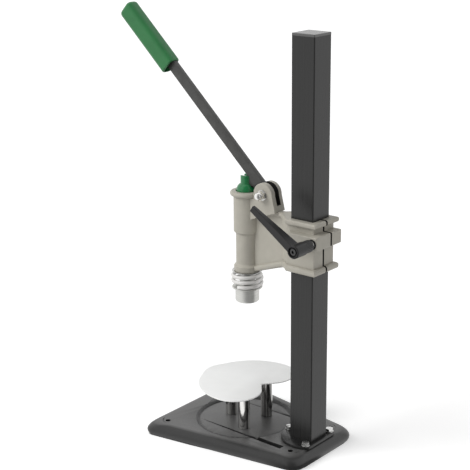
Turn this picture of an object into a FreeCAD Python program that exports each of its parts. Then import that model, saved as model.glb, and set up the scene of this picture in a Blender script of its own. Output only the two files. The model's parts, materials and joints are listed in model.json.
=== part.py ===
import FreeCAD, Part
import math
import os
import Sketcher

# Manual capping machine for crown caps, in millimetres.
# The origin is the point on the bench plane under the centre of the column.
# +Z is up, -Y is the front, where the bottle stands, and +X is the side of the clamp lever.
# The model is at rest: head clamped, lever up, plunger up.

Vector = FreeCAD.Vector
Rotation = FreeCAD.Rotation
Placement = FreeCAD.Placement

doc = FreeCAD.newDocument("CappingMachine")

# Driving dimensions: alias, value, what it is.
ROWS = [
    ("base_height", 24.0, "base plate, bench to top"),
    ("base_back", 42.0, "column centre to the base's rear edge"),
    ("base_front", 293.0, "column centre to the base's front edge"),
    ("base_back_half", 85.0, "half width of the rear edge"),
    ("base_front_half", 147.0, "half width of the front edge"),
    ("base_back_round", 42.0, "plan radius of the rear corners"),
    ("base_front_round", 18.0, "plan radius of the front corners"),
    ("base_rim_angle", 13.0, "slope of the rim, degrees from upright"),
    ("base_rim_round", 5.0, "round between rim and top"),
    ("base_skin", 8.0, "thickness of the top"),
    ("base_rim_wall", 11.0, "width of the rim at the bench"),
    ("rib_width", 4.0, "ribs under the base"),
    ("rib_tie", 4.0, "ribs reach this far into the rim"),
    ("rib_lift", 1.0, "ribs stay this far above the bench"),
    ("dish_radius", 98.0, "round dish in the base top"),
    ("dish_depth", 3.0, "depth of the dish"),
    ("dish_slope", 4.0, "width of the dish's sloping rim"),
    ("dish_forward", 155.0, "column centre to dish centre"),
    ("groove_inner", 57.0, "centre plane to the inner wall of a groove"),
    ("groove_front_outer", 64.0, "centre plane to the outer lip of a groove, in front"),
    ("groove_back_outer", 70.0, "centre plane to the outer lip of a groove, behind"),
    ("groove_toe", 1.0, "flat floor of a groove"),
    ("groove_front_depth", 3.0, "depth of a groove, in front"),
    ("groove_back_depth", 9.0, "depth of a groove, behind"),
    ("groove_front", 224.0, "column centre to the front end of the grooves"),
    ("groove_back", 15.0, "column centre to the rear end of the grooves"),
    ("bench_hole_radius", 5.0, "holes for bench screws"),
    ("bench_boss_radius", 10.0, "bosses round the bench holes"),
    ("rear_hole_half", 64.7, "half spacing of the rear bench holes"),
    ("rear_hole_back", 6.2, "column centre back to the rear bench holes"),
    ("front_hole_half", 110.0, "half spacing of the front bench holes"),
    ("front_hole_forward", 262.5, "column centre forward to the front bench holes"),
    ("column_boss_radius", 28.0, "boss under the column, down to the bench"),
    ("rib_margin", 24.0, "posts to the cross ribs"),
    ("flange_radius", 52.0, "disc under the column"),
    ("flange_thick", 6.0, "its thickness"),
    ("flange_cut", 32.0, "column centre to the straight rear edge of the disc"),
    ("bolt_circle_radius", 44.6, "three bolts through the disc"),
    ("bolt_radius", 4.0, "M8 shank"),
    ("bolt_hole_clearance", 0.5, "radial clearance round an M8 shank"),
    ("hex_across", 13.0, "M8 head and nut, across flats"),
    ("bolt_head_height", 5.3, "M8 head"),
    ("nut_height", 6.5, "M8 nut"),
    ("washer_radius", 8.0, "M8 washer"),
    ("washer_thick", 1.6, "M8 washer"),
    ("thread_slack", 0.05, "radial gap drawn between a screw and its nut"),
    ("screw_past", 2.0, "screw end past its nut"),
    ("stud_bevel", 1.0, "end of the clamp screw"),
    ("hole_spare", 1.0, "a blind hole is this much deeper than its screw"),
    ("column_side", 50.0, "square tube, outside"),
    ("column_wall", 2.5, "its wall"),
    ("column_corner", 1.8, "its outer corner radius"),
    ("column_length", 762.5, "tube from the disc to its top edge"),
    ("cap_plate", 4.5, "plastic end cap above the tube"),
    ("cap_plug", 18.0, "plug of the end cap inside the tube"),
    ("cap_slack", 0.25, "plug to tube"),
    ("reach", 147.5, "column centre to the capping axis"),
    ("plate_top", 105.0, "bench to the top of the bottle plate"),
    ("plate_thick", 2.5, "bottle plate"),
    ("lobe_radius", 51.5, "rear lobes of the bottle plate"),
    ("lobe_offset", 54.0, "centre plane to a lobe's centre"),
    ("lobe_forward", 136.0, "column centre to the lobes' centres"),
    ("notch_forward", 114.0, "column centre to the plate's notch"),
    ("nose_radius", 45.0, "front of the bottle plate"),
    ("nose_forward", 203.0, "column centre to the nose's centre"),
    ("post_radius", 11.5, "posts under the bottle plate"),
    ("post_bevel", 1.0, "edges of a post"),
    ("post_forward", 149.5, "column centre to the centre of the posts' circle"),
    ("post_circle_radius", 41.0, "that centre to a post"),
    ("stud_radius", 3.0, "M6 stud welded under the bottle plate"),
    ("stud_length", 12.0, "its length"),
    ("post_screw_grip", 14.0, "length of a screw inside a post"),
    ("button_radius", 7.0, "head of a post screw"),
    ("button_height", 4.4, "head of a post screw"),
    ("head_bottom", 364.0, "bench to the underside of the clamp"),
    ("clamp_height", 99.0, "clamp on the column, top to bottom"),
    ("clamp_slack", 0.3, "clamp to column, each side"),
    ("clamp_wall", 5.2, "wall of the clamp"),
    ("lip_out", 7.3, "lips stand out from the wall"),
    ("top_lip", 10.0, "height of the top lip"),
    ("low_lip", 12.5, "height of the bottom lip"),
    ("top_lip_round", 4.0, "outer edges of the top lip"),
    ("low_lip_round", 5.0, "outer edges of the bottom lip"),
    ("flare_start", 28.0, "column centre forward to where the lips flare in"),
    ("flare_end", 61.0, "column centre forward to where the flare meets the arm"),
    ("arm_half", 8.0, "half width of the arm's flanges"),
    ("web_thick", 5.0, "web of the arm"),
    ("rib_up", 0.5, "barrel's foot up to the arm's underside"),
    ("lug_back", 47.5, "column centre to the rear of the clamp lug"),
    ("lug_side", 46.0, "column centre to the side of the clamp lug"),
    ("lug_far_side", 33.0, "column centre to the far side of the clamp lug"),
    ("lug_half", 12.7, "half the height of the lug"),
    ("lug_round", 3.5, "upright edges of the lug"),
    ("lug_edge", 2.0, "its upper and lower edges"),
    ("lug_front", 12.0, "column centre forward to where the lug tapers off"),
    ("slit", 4.5, "split in the rear of the clamp"),
    ("screw_back", 38.0, "column centre back to the clamp screw"),
    ("screw_up", 65.6, "underside of the clamp up to the clamp screw"),
    ("clamp_stud_radius", 5.0, "M10 clamp screw"),
    ("clamp_hole_slack", 0.4, "radial clearance of the clamp screw in the lug"),
    ("clamp_nut_across", 16.0, "M10 nut, across flats"),
    ("clamp_nut_height", 8.0, "M10 nut"),
    ("nut_pocket", 9.0, "depth of its pocket in the lug"),
    ("nut_slack", 0.2, "pocket to nut, each side"),
    ("ear_half", 15.6, "half width of the two ears"),
    ("ear_slot_half", 5.8, "half width of the slot between them"),
    ("ear_radius", 22.0, "round of the ears about the pivot"),
    ("ear_round", 2.0, "outer edges of the ears"),
    ("ear_back", 68.0, "column centre forward to the rear of the ears"),
    ("ear_hang", 23.0, "top of the clamp down to the low front of the ears"),
    ("slot_drop", 18.5, "pivot down to the floor of the slot"),
    ("pivot_forward", 97.5, "column centre to the lever pivot"),
    ("pivot_up", 29.0, "top of the clamp up to the lever pivot"),
    ("pivot_radius", 5.0, "M10 pivot bolt"),
    ("pivot_across", 16.0, "its head and its nut, across flats"),
    ("pivot_head_height", 6.4, "its head"),
    ("pivot_nut_height", 8.0, "hexagon of the dome nut"),
    ("pivot_washer_radius", 10.0, "M10 washer"),
    ("pivot_washer_thick", 2.0, "M10 washer"),
    ("pivot_slack", 0.05, "radial running clearance at the pivot"),
    ("dome_height", 18.0, "dome nut with its hexagon"),
    ("barrel_hang", 30.5, "underside of the clamp down to the barrel's foot"),
    ("barrel_foot_radius", 25.0, "foot of the barrel"),
    ("barrel_foot_height", 15.0, "foot of the barrel"),
    ("barrel_foot_bevel", 5.0, "height of the cone above the foot"),
    ("barrel_slim_radius", 20.9, "slim part of the barrel"),
    ("barrel_wide", 73.5, "foot of that cone to the collar"),
    ("barrel_radius", 25.0, "wide part of the barrel"),
    ("barrel_cone", 4.0, "height of the cone between slim and wide"),
    ("collar_height", 9.6, "rounded collar"),
    ("collar_drop", 1.4, "pivot down to the top of the collar"),
    ("collar_radius", 31.5, "rounded collar"),
    ("spring_bore_radius", 21.0, "bore round the return spring and cap"),
    ("bush_length", 74.5, "guide bush, foot of the barrel to the spring bore"),
    ("bush_radius", 13.0, "outside of the guide bush"),
    ("bush_flange_radius", 17.0, "flange of the guide bush on the bore's floor"),
    ("bush_flange", 3.0, "its thickness"),
    ("rod_radius", 10.0, "plunger rod"),
    ("rod_slack", 0.05, "radial running clearance of the rod"),
    ("rod_bevel", 1.0, "upper end of the rod"),
    ("lever_rest", 43.5, "lever above the horizontal at rest, degrees"),
    ("lever_half_height", 10.0, "half the height of the bar"),
    ("lever_thick", 10.0, "thickness of the bar"),
    ("lever_length", 452.0, "pivot to the end of the bar inside the grip"),
    ("heel_reach", 51.0, "pivot to the centre of the heel that presses the cap"),
    ("heel_drop", 27.0, "heel below the bar's centre line, degrees"),
    ("heel_radius", 8.0, "round of the heel"),
    ("neck_radius", 30.0, "hollow between the heel and the pivot end"),
    ("lever_bush_radius", 7.5, "outside of the pivot bush"),
    ("lever_bush_proud", 0.5, "bush proud of the bar, each side"),
    ("grip_start", 318.0, "pivot to the grip's lower end"),
    ("grip_length", 154.0, "grip"),
    ("grip_height", 37.0, "grip, across the bar's height"),
    ("grip_width", 27.0, "grip, across the bar's thickness"),
    ("grip_drop", 5.9, "centre line of the bar down to the centre line of the grip"),
    ("grip_round", 7.5, "its long edges"),
    ("grip_end_round", 7.0, "its far end"),
    ("grip_mouth_wall", 2.2, "wall of the grip round its mouth"),
    ("grip_mouth_depth", 12.0, "depth of that mouth"),
    ("grip_slack", 0.2, "grip socket to bar"),
    ("heel_gap", 0.15, "heel to cap at rest"),
    ("cap_radius", 19.5, "plunger cap"),
    ("cap_skirt", 5.0, "straight edge of the cap above its underside"),
    ("cap_dome", 15.5, "round of the cap above its skirt"),
    ("cap_sink", 4.6, "top of the collar down to the cap's underside"),
    ("cheek_height", 21.7, "cheeks of the cap above the floor of the gap"),
    ("cap_top_radius", 11.5, "cap at its top"),
    ("cap_top_round", 1.5, "edges of the cheeks at the top"),
    ("cheek_gap_half", 5.6, "half width of the gap between the cheeks"),
    ("cap_seat_depth", 8.0, "rod end inside the cap"),
    ("return_wire", 3.5, "wire of the return spring"),
    ("return_mean", 15.6, "mean radius of the return spring"),
    ("return_pitch", 10.2, "pitch of the return spring"),
    ("disc_radius", 29.0, "disc at the foot of the rod"),
    ("disc_thick", 2.2, "its thickness"),
    ("disc_bevel", 0.8, "lower edge of the disc"),
    ("disc_gap", 0.3, "barrel foot to disc"),
    ("buffer_wire", 7.2, "wire of the buffer spring"),
    ("buffer_radius", 31.3, "outside of the buffer spring"),
    ("buffer_pitch", 9.8, "pitch of the buffer spring"),
    ("buffer_length", 30.0, "buffer spring between disc and bell"),
    ("spring_seat_gap", 0.1, "end of a spring to its seat"),
    ("bell_height", 27.0, "bell, mouth to top"),
    ("bell_radius", 23.0, "outside of the bell"),
    ("bell_roof", 6.0, "thickness of the bell's roof"),
    ("bell_round", 4.0, "round at the mouth"),
    ("bell_flange_radius", 29.4, "spring seat of the bell"),
    ("bell_flange", 3.0, "its thickness"),
    ("bell_flange_round", 1.4, "edge of the spring seat"),
    ("bell_neck_radius", 15.0, "neck of the bell inside the spring"),
    ("bell_neck", 18.0, "neck above the spring seat"),
    ("spigot_radius", 7.0, "lower end of the rod, inside the neck"),
    ("spigot_slack", 0.06, "radial clearance of the spigot in the neck"),
    ("throat_seat_radius", 18.5, "outside of the crimping ring"),
    ("throat_radius", 14.3, "crimping ring at its throat"),
    ("throat_mouth_radius", 16.4, "crimping ring at its mouth"),
    ("throat_lead", 3.0, "roof of the bell down to the throat"),
    ("throat_inset", 1.0, "mouth of the crimping ring inside the bell"),
    ("throat_flare", 5.0, "height of the flare at the ring's mouth"),
    ("stop_radius", 12.5, "washer that holds the bell on the rod"),
    ("stop_thick", 2.5, "its thickness"),
    ("magnet_radius", 11.0, "ring magnet that holds the crown cap"),
    ("magnet_height", 6.0, "ring magnet"),
    ("magnet_slack", 0.3, "magnet to the head of the bell screw"),
    ("bell_screw_head_radius", 6.5, "head of the bell screw"),
    ("bell_screw_sunk", 0.5, "head of the bell screw inside the magnet"),
    ("bell_screw_radius", 4.0, "bell screw"),
    ("bell_screw_length", 16.0, "bell screw inside the spigot"),
    ("key_radius", 2.9, "hexagon recess in a screw head, across corners"),
    ("key_depth", 2.5, "depth of that recess"),
    ("handle_reach", 114.0, "clamp screw to the tip of the clamp lever"),
    ("handle_rise", 33.0, "clamp lever above the horizontal at rest, degrees"),
    ("handle_length", 103.0, "column centre to the outer end of the hub"),
    ("handle_root_width", 16.0, "width of the arm at the hub"),
    ("handle_root_thick", 22.0, "thickness of the arm at the hub"),
    ("handle_tip_width", 12.2, "width of the arm at its tip"),
    ("handle_gap", 8.0, "steel collar shows between lug and hub"),
    ("handle_hub_radius", 12.5, "hub of the clamp lever"),
    ("handle_neck_radius", 11.4, "serrated neck of the hub"),
    ("handle_neck_length", 21.0, "that neck"),
    ("flute_radius", 1.3, "round of the grooves on that neck"),
    ("flute_out", 0.6, "centre of a groove outside the neck"),
    ("flute_land", 3.0, "end of the grooves to the hub"),
    ("handle_tip_thick", 7.0, "thickness of the arm at the tip"),
    ("handle_tip_in", 4.0, "outer face of the tip inside the hub's outer end"),
    ("handle_edge", 1.5, "rounded edges of the clamp lever"),
    ("insert_collar_radius", 7.5, "steel collar on the lug"),
    ("clamp_washer_radius", 9.5, "washer under that collar"),
    ("insert_radius", 6.8, "steel insert inside the hub"),
    ("insert_slack", 0.06, "radial clearance of the insert in the hub"),
    ("insert_length", 30.0, "steel insert from the lug outwards"),
    ("insert_teeth_radius", 7.9, "toothed ring of the insert"),
    ("insert_teeth_length", 3.5, "toothed ring of the insert"),
    ("handle_bore_radius", 6.6, "spring chamber in the hub"),
    ("handle_floor", 4.0, "floor between insert and spring"),
    ("handle_screw_radius", 3.0, "screw that holds the clamp lever"),
    ("handle_screw_slack", 0.3, "radial clearance of that screw in the hub"),
    ("handle_screw_grip", 10.0, "that screw inside the insert"),
    ("handle_screw_head", 6.0, "its head, radius"),
    ("handle_screw_height", 3.5, "its head"),
    ("handle_screw_sunk", 0.5, "underside of its head below the recess"),
    ("handle_recess", 4.0, "recess in the hub's end"),
    ("handle_recess_radius", 9.5, "recess in the hub's end"),
    ("end_play", 0.5, "axial room round the insert in the hub"),
    ("handle_lift", 4.0, "clamp lever pulled out to turn it on its teeth"),
    ("handle_spring_wire", 0.9, "wire of the spring inside the hub"),
    ("handle_spring_mean", 4.4, "mean radius of that spring"),
    ("handle_spring_pitch", 2.7, "pitch of that spring"),
]


class Size:
    """A length or an angle: its value, and the formula that ties it to the sheet."""

    def __init__(self, value, formula):
        self.value = value
        self.formula = formula

    def __add__(self, other):
        return Size(self.value + number(other), "(%s + %s)" % (self.formula, formula(other)))

    __radd__ = __add__

    def __sub__(self, other):
        return Size(self.value - number(other), "(%s - %s)" % (self.formula, formula(other)))

    def __rsub__(self, other):
        return Size(number(other) - self.value, "(%s - %s)" % (formula(other), self.formula))

    def __mul__(self, other):
        return Size(self.value * number(other), "(%s * %s)" % (self.formula, formula(other)))

    __rmul__ = __mul__

    def __truediv__(self, other):
        return Size(self.value / number(other), "(%s / %s)" % (self.formula, formula(other)))

    def __rtruediv__(self, other):
        return Size(number(other) / self.value, "(%s / %s)" % (formula(other), self.formula))

    def __neg__(self):
        return Size(-self.value, "(0 - %s)" % self.formula)


class Sheet:
    """The spreadsheet of driving dimensions. Its aliases read as Sizes."""

    def __init__(self, document, rows):
        self.cells = document.addObject("Spreadsheet::Sheet", "Sizes")
        self.values = {}
        for line, (alias, value, meaning) in enumerate(rows, start=1):
            self.cells.set("A%d" % line, meaning)
            self.cells.set("B%d" % line, repr(value))
            self.cells.setAlias("B%d" % line, alias)
            self.values[alias] = value

    def __getattr__(self, alias):
        return Size(self.values[alias], "Sizes." + alias)


def number(value):
    return value.value if isinstance(value, Size) else float(value)


def formula(value):
    return value.formula if isinstance(value, Size) else repr(float(value))


def root(size):
    return Size(math.sqrt(size.value), "sqrt(%s)" % size.formula)


def sine(angle):
    return Size(math.sin(math.radians(number(angle))), "sin(%s)" % formula(angle))


def cosine(angle):
    return Size(math.cos(math.radians(number(angle))), "cos(%s)" % formula(angle))



d = Sheet(doc, ROWS)
doc.recompute()

NODES = []
SYMMETRIC = "Symmetric"
ALONG_X = Rotation(Vector(0, 1, 0), 90)
HEX_CORNER = 1 / math.sqrt(3)
PAST = 1.0
BURIED = 2.0
SAME = 0.01
LEAST_CUT = 0.5
STEEP = 0.8


def bind(item, path, value):
    """Give a property its value, tied to the sheet when it is a Size."""
    if isinstance(value, Size):
        item.setExpression(path, value.formula)


def new_body(label, x=0, y=0, z=0, turn=None):
    body = doc.addObject("PartDesign::Body", label)
    body.Label = label
    body.AllowCompound = True
    body.Placement = Placement(Vector(number(x), number(y), number(z)), turn or Rotation())
    bind(body, ".Placement.Base.x", x)
    bind(body, ".Placement.Base.y", y)
    bind(body, ".Placement.Base.z", z)
    return body


def node(item):
    """Mark an object as one of the finished pieces."""
    NODES.append(item)
    return item


def origin_part(body, role):
    return [item for item in body.Origin.OriginFeatures if item.Role == role][0]


def new_sketch(body, plane, offset=0):
    sketch = body.newObject("Sketcher::SketchObject", body.Label + "_" + plane)
    sketch.AttachmentSupport = (origin_part(body, plane + "_Plane"), [""])
    sketch.MapMode = "FlatFace"
    sketch.AttachmentOffset = Placement(Vector(0, 0, number(offset)), Rotation())
    bind(sketch, ".AttachmentOffset.Base.z", offset)
    return sketch


def fix_point(sketch, edge, end, x, y):
    """Tie one point of a sketch to its two coordinates."""
    for kind, value in (("DistanceX", x), ("DistanceY", y)):
        index = sketch.addConstraint(Sketcher.Constraint(kind, -1, 1, edge, end, number(value)))
        bind(sketch, "Constraints[%d]" % index, value)


def closed_outline(sketch, corners):
    """Draw a closed outline. A corner is (x, y), reached by a straight line, or
    (x, y, "left" or "right", centre x, centre y), reached by an arc that turns that way."""
    ends = []
    for place, corner in enumerate(corners):
        before = corners[place - 1]
        start = Vector(number(before[0]), number(before[1]), 0)
        finish = Vector(number(corner[0]), number(corner[1]), 0)
        if len(corner) == 2:
            edge = sketch.addGeometry(Part.LineSegment(start, finish), False)
            ends.append((edge, 1, 2))
            continue
        centre = Vector(number(corner[3]), number(corner[4]), 0)
        first, last = (start, finish) if corner[2] == "left" else (finish, start)
        angles = [math.atan2(point.y - centre.y, point.x - centre.x) for point in (first, last)]
        ring = Part.Circle(centre, Vector(0, 0, 1), (start - centre).Length)
        edge = sketch.addGeometry(Part.ArcOfCircle(ring, angles[0], angles[1]), False)
        ends.append((edge, 1, 2) if corner[2] == "left" else (edge, 2, 1))
        chord = finish - start
        kind, value = ("DistanceX", corner[3]) if abs(chord.y) > abs(chord.x) else ("DistanceY", corner[4])
        index = sketch.addConstraint(Sketcher.Constraint(kind, -1, 1, edge, 3, number(value)))
        bind(sketch, "Constraints[%d]" % index, value)
    for place, corner in enumerate(corners):
        edge, start_end, finish_end = ends[place]
        follower = ends[(place + 1) % len(ends)]
        sketch.addConstraint(Sketcher.Constraint("Coincident", edge, finish_end, follower[0], follower[1]))
        fix_point(sketch, edge, finish_end, corner[0], corner[1])


def ring_outline(sketch, x, y, radius):
    circle = Part.Circle(Vector(number(x), number(y), 0), Vector(0, 0, 1), number(radius))
    edge = sketch.addGeometry(circle, False)
    fix_point(sketch, edge, 3, x, y)
    index = sketch.addConstraint(Sketcher.Constraint("Radius", edge, number(radius)))
    bind(sketch, "Constraints[%d]" % index, radius)


def hexagon(sketch, x, y, across, first_corner=0):
    """A hexagon whose first corner lies at an angle from the sketch's X direction."""
    corner = across * HEX_CORNER
    angles = [math.radians(first_corner + 60 * step) for step in range(6)]
    closed_outline(sketch, [
        (x + corner * math.cos(angle), y + corner * math.sin(angle)) for angle in angles])


def square(sketch, half_x, half_y):
    closed_outline(sketch, [(-half_x, -half_y), (half_x, -half_y), (half_x, half_y), (-half_x, half_y)])


def extrude(body, kind, sketch, length, both=False, turned=False, taper=0):
    feature = body.newObject("PartDesign::" + kind, body.Label + "_" + kind)
    feature.Profile = sketch
    feature.Length = number(length)
    bind(feature, "Length", length)
    feature.Reversed = turned
    if both:
        feature.SideType = SYMMETRIC
    if number(taper):
        feature.TaperAngle = number(taper)
        bind(feature, "TaperAngle", taper)
    sketch.Visibility = False
    doc.recompute()
    return feature


def pad(body, sketch, length, **options):
    return extrude(body, "Pad", sketch, length, **options)


def pocket(body, sketch, length, **options):
    """Cut a pocket, and stop if it takes nothing away."""
    before = body.Shape.Volume
    feature = extrude(body, "Pocket", sketch, length, **options)
    if body.Shape.Volume > before - LEAST_CUT:
        raise ValueError("a pocket of %s cuts nothing" % body.Label)
    return feature


def revolve(body, sketch, kind="Revolution", axis="V_Axis"):
    feature = body.newObject("PartDesign::" + kind, body.Label + "_" + kind)
    feature.Profile = sketch
    feature.ReferenceAxis = (sketch, [axis])
    feature.Angle = 360
    before = body.Shape.Volume if body.Shape.Solids else 0
    doc.recompute()
    if kind == "Groove" and body.Shape.Volume > before - LEAST_CUT:
        raise ValueError("a groove of %s cuts nothing" % body.Label)
    return feature


def turned(body, profile):
    """A turned piece: its half section is given as (radius, height) corners."""
    sketch = new_sketch(body, "XZ")
    closed_outline(sketch, profile)
    return revolve(body, sketch)


def edge_names(body, test):
    names = []
    for place, edge in enumerate(body.Shape.Edges, start=1):
        middle = edge.valueAt((edge.FirstParameter + edge.LastParameter) / 2)
        if test(edge, body.Placement.inverse().multVec(middle)):
            names.append("Edge%d" % place)
    if not names:
        raise ValueError("no edge of %s to dress" % body.Label)
    return names


def dress(body, kind, size, test):
    """A fillet or chamfer on the edges that pass a test of edge and middle point."""
    names = edge_names(body, test)
    base = body.Tip
    feature = body.newObject("PartDesign::" + kind, body.Label + "_" + kind)
    feature.Base = (base, names)
    sides = "Radius" if kind == "Fillet" else "Size"
    setattr(feature, sides, number(size))
    bind(feature, sides, size)
    doc.recompute()
    return feature


def upright(edge):
    first, last = edge.Vertexes[0].Point, edge.Vertexes[-1].Point
    return abs(last.z - first.z) > STEEP * (last - first).Length > 0


def pattern_round(body, features, count, axis="Z"):
    """Repeat features of a body round one of its own axes."""
    pattern = body.newObject("PartDesign::PolarPattern", body.Label + "_ring")
    pattern.Originals = features
    pattern.Axis = (origin_part(body, axis + "_Axis"), [""])
    pattern.Angle = 360
    pattern.Occurrences = count
    body.Tip = pattern
    doc.recompute()
    return pattern


def loft(body, kind, sketches):
    """A straight-sided loft through sketches that lie one behind the other."""
    feature = body.newObject("PartDesign::" + kind, body.Label + "_loft")
    feature.Profile = sketches[0]
    feature.Sections = sketches[1:]
    feature.Ruled = True
    for sketch in sketches:
        sketch.Visibility = False
    doc.recompute()
    return feature


def coil(body, mean_radius, wire, pitch, low, high):
    """A round-wire spring between two heights of its body's axis."""
    sketch = new_sketch(body, "XZ")
    ring_outline(sketch, mean_radius, low + wire / 2, wire / 2)
    feature = body.newObject("PartDesign::AdditiveHelix", body.Label + "_helix")
    feature.Profile = sketch
    feature.ReferenceAxis = (sketch, ["V_Axis"])
    feature.Mode = "pitch-height-angle"
    feature.Pitch = number(pitch)
    bind(feature, "Pitch", pitch)
    rise = high - low - wire
    feature.Height = number(rise)
    bind(feature, "Height", rise)
    doc.recompute()
    return feature


# Heights and places worked out from the driving dimensions.
base_ceiling = d.base_height - d.base_skin
dish_floor = d.base_height - d.dish_depth
flange_top = d.base_height + d.flange_thick
tube_top = flange_top + d.column_length
half_column = d.column_side / 2
head_top = d.head_bottom + d.clamp_height
bore_half = half_column + d.clamp_slack
wall_half = bore_half + d.clamp_wall
lip_half = wall_half + d.lip_out
plate_low = d.plate_top - d.plate_thick
bolt_hole = d.bolt_radius + d.bolt_hole_clearance
screw_height = d.head_bottom + d.screw_up
pivot_height = head_top + d.pivot_up
collar_top = pivot_height - d.collar_drop
collar_low = collar_top - d.collar_height
barrel_step = collar_low - d.barrel_wide
barrel_low = d.head_bottom - d.barrel_hang
rib_foot = barrel_low + d.rib_up
bore_floor = barrel_low + d.bush_length
cap_low = collar_top - d.cap_sink
disc_top = barrel_low - d.disc_gap
disc_low = disc_top - d.disc_thick
flange_seat = disc_low - d.buffer_length
bell_top = flange_seat - d.bell_flange
roof_low = bell_top - d.bell_roof
bell_low = bell_top - d.bell_height
stop_low = roof_low - d.stop_thick
magnet_low = stop_low - d.magnet_height
BOLT_ANGLES = (30, 150, 270)
POST_ANGLES = {"post_right": 30, "post_left": 150, "post_front": 270}


def bolt_place(angle):
    return (d.bolt_circle_radius * math.cos(math.radians(angle)),
            d.bolt_circle_radius * math.sin(math.radians(angle)))


def post_place(angle):
    return (d.post_circle_radius * math.cos(math.radians(angle)),
            d.post_circle_radius * math.sin(math.radians(angle)) - d.post_forward)


# Base: a moulded plate, wider in front, with a sloping rim, hollow and ribbed below.
base = new_body("base_plate")
outline = new_sketch(base, "XY")
closed_outline(outline, [
    (-d.base_back_half, d.base_back), (-d.base_front_half, -d.base_front),
    (d.base_front_half, -d.base_front), (d.base_back_half, d.base_back)])
pad(base, outline, d.base_height, taper=-d.base_rim_angle)
dress(base, "Fillet", d.base_back_round, lambda edge, at: upright(edge) and at.y > 0)
dress(base, "Fillet", d.base_front_round,
      lambda edge, at: upright(edge) and at.y < -number(d.base_front) / 2)
dress(base, "Fillet", d.base_rim_round, lambda edge, at: at.z > number(d.base_height) - SAME)

hollow = new_sketch(base, "XY")
slope = (d.base_front_half - d.base_back_half) / (d.base_front + d.base_back)
inner_back = d.base_back - d.base_rim_wall
inner_front = d.base_front - d.base_rim_wall
corner_cut = d.base_back_round / 2
closed_outline(hollow, [
    (-(d.base_back_half - d.base_rim_wall - corner_cut), inner_back),
    (-(d.base_back_half - d.base_rim_wall + slope * corner_cut), inner_back - corner_cut),
    (-(d.base_front_half - d.base_rim_wall - slope * corner_cut), corner_cut - inner_front),
    (-(d.base_front_half - d.base_rim_wall - corner_cut), -inner_front),
    (d.base_front_half - d.base_rim_wall - corner_cut, -inner_front),
    (d.base_front_half - d.base_rim_wall - slope * corner_cut, corner_cut - inner_front),
    (d.base_back_half - d.base_rim_wall + slope * corner_cut, inner_back - corner_cut),
    (d.base_back_half - d.base_rim_wall - corner_cut, inner_back)])
pocket(base, hollow, base_ceiling, turned=True)

ribs = new_sketch(base, "XY", d.rib_lift)
for side in (-1, 1):
    closed_outline(ribs, [
        ((d.groove_inner - d.rib_width) * side, -inner_front - d.rib_tie),
        (d.groove_back_outer * side, -inner_front - d.rib_tie),
        (d.groove_back_outer * side, inner_back - corner_cut / 2),
        ((d.groove_inner - d.rib_width) * side, inner_back + d.rib_tie)])
pad(base, ribs, base_ceiling - d.rib_lift)
for rib_forward in (d.post_forward - d.post_circle_radius - d.rib_margin, d.post_forward + d.rib_margin / 2,
                    d.post_forward + d.post_circle_radius + d.rib_margin):
    cross = new_sketch(base, "XY", d.rib_lift)
    half = d.base_back_half - d.base_rim_wall + d.rib_tie + slope * (rib_forward + d.base_back)
    closed_outline(cross, [
        (-half, -rib_forward - d.rib_width / 2), (half, -rib_forward - d.rib_width / 2),
        (half, d.rib_width / 2 - rib_forward), (-half, d.rib_width / 2 - rib_forward)])
    pad(base, cross, base_ceiling - d.rib_lift)
bosses = new_sketch(base, "XY")
BENCH_HOLES = [(d.rear_hole_half, d.rear_hole_back), (-d.rear_hole_half, d.rear_hole_back),
               (d.front_hole_half, -d.front_hole_forward), (-d.front_hole_half, -d.front_hole_forward)]
for hole_x, hole_y in BENCH_HOLES:
    ring_outline(bosses, hole_x, hole_y, d.bench_boss_radius)
ring_outline(bosses, 0, 0, d.column_boss_radius)
pad(base, bosses, base_ceiling)

dish = new_sketch(base, "XZ", d.dish_forward)
closed_outline(dish, [
    (0, dish_floor), (d.dish_radius - d.dish_slope, dish_floor), (d.dish_radius, d.base_height),
    (d.dish_radius, d.base_height + d.dish_depth), (0, d.base_height + d.dish_depth)])
revolve(base, dish, "Groove")

for side in (-1, 1):
    ends = []
    for forward, outer, depth in ((d.groove_back, d.groove_back_outer, d.groove_back_depth),
                                  (d.groove_front, d.groove_front_outer, d.groove_front_depth)):
        ends.append(new_sketch(base, "XZ", forward))
        closed_outline(ends[-1], [
            (d.groove_inner * side, d.base_height + PAST), (d.groove_inner * side, d.base_height - depth),
            ((d.groove_inner + d.groove_toe) * side, d.base_height - depth),
            (outer * side, d.base_height), (outer * side, d.base_height + PAST)])
    loft(base, "SubtractiveLoft", ends)
holes = new_sketch(base, "XY", d.base_height)
for hole_x, hole_y in BENCH_HOLES:
    ring_outline(holes, hole_x, hole_y, d.bench_hole_radius)
for angle in BOLT_ANGLES:
    ring_outline(holes, *bolt_place(angle), bolt_hole)
for angle in POST_ANGLES.values():
    ring_outline(holes, *post_place(angle), bolt_hole)
pocket(base, holes, d.base_height)
node(base)

# Column: a steel disc bolted on the base, the square tube welded on it, and a plastic end cap.
disc = new_body("column_flange")
plan = new_sketch(disc, "XY", d.base_height)
chord = root(d.flange_radius * d.flange_radius - d.flange_cut * d.flange_cut)
closed_outline(plan, [(-chord, d.flange_cut), (chord, d.flange_cut, "left", 0, 0)])
pad(disc, plan, d.flange_thick)
drill = new_sketch(disc, "XY", flange_top)
for angle in BOLT_ANGLES:
    ring_outline(drill, *bolt_place(angle), bolt_hole)
pocket(disc, drill, d.flange_thick)
node(disc)

tube = new_body("column_tube")
section = new_sketch(tube, "XY", flange_top)
square(section, half_column, half_column)
pad(tube, section, d.column_length)
dress(tube, "Fillet", d.column_corner, lambda edge, at: upright(edge))
inner = new_sketch(tube, "XY", flange_top)
square(inner, half_column - d.column_wall, half_column - d.column_wall)
pocket(tube, inner, d.column_length, turned=True)
node(tube)

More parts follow.
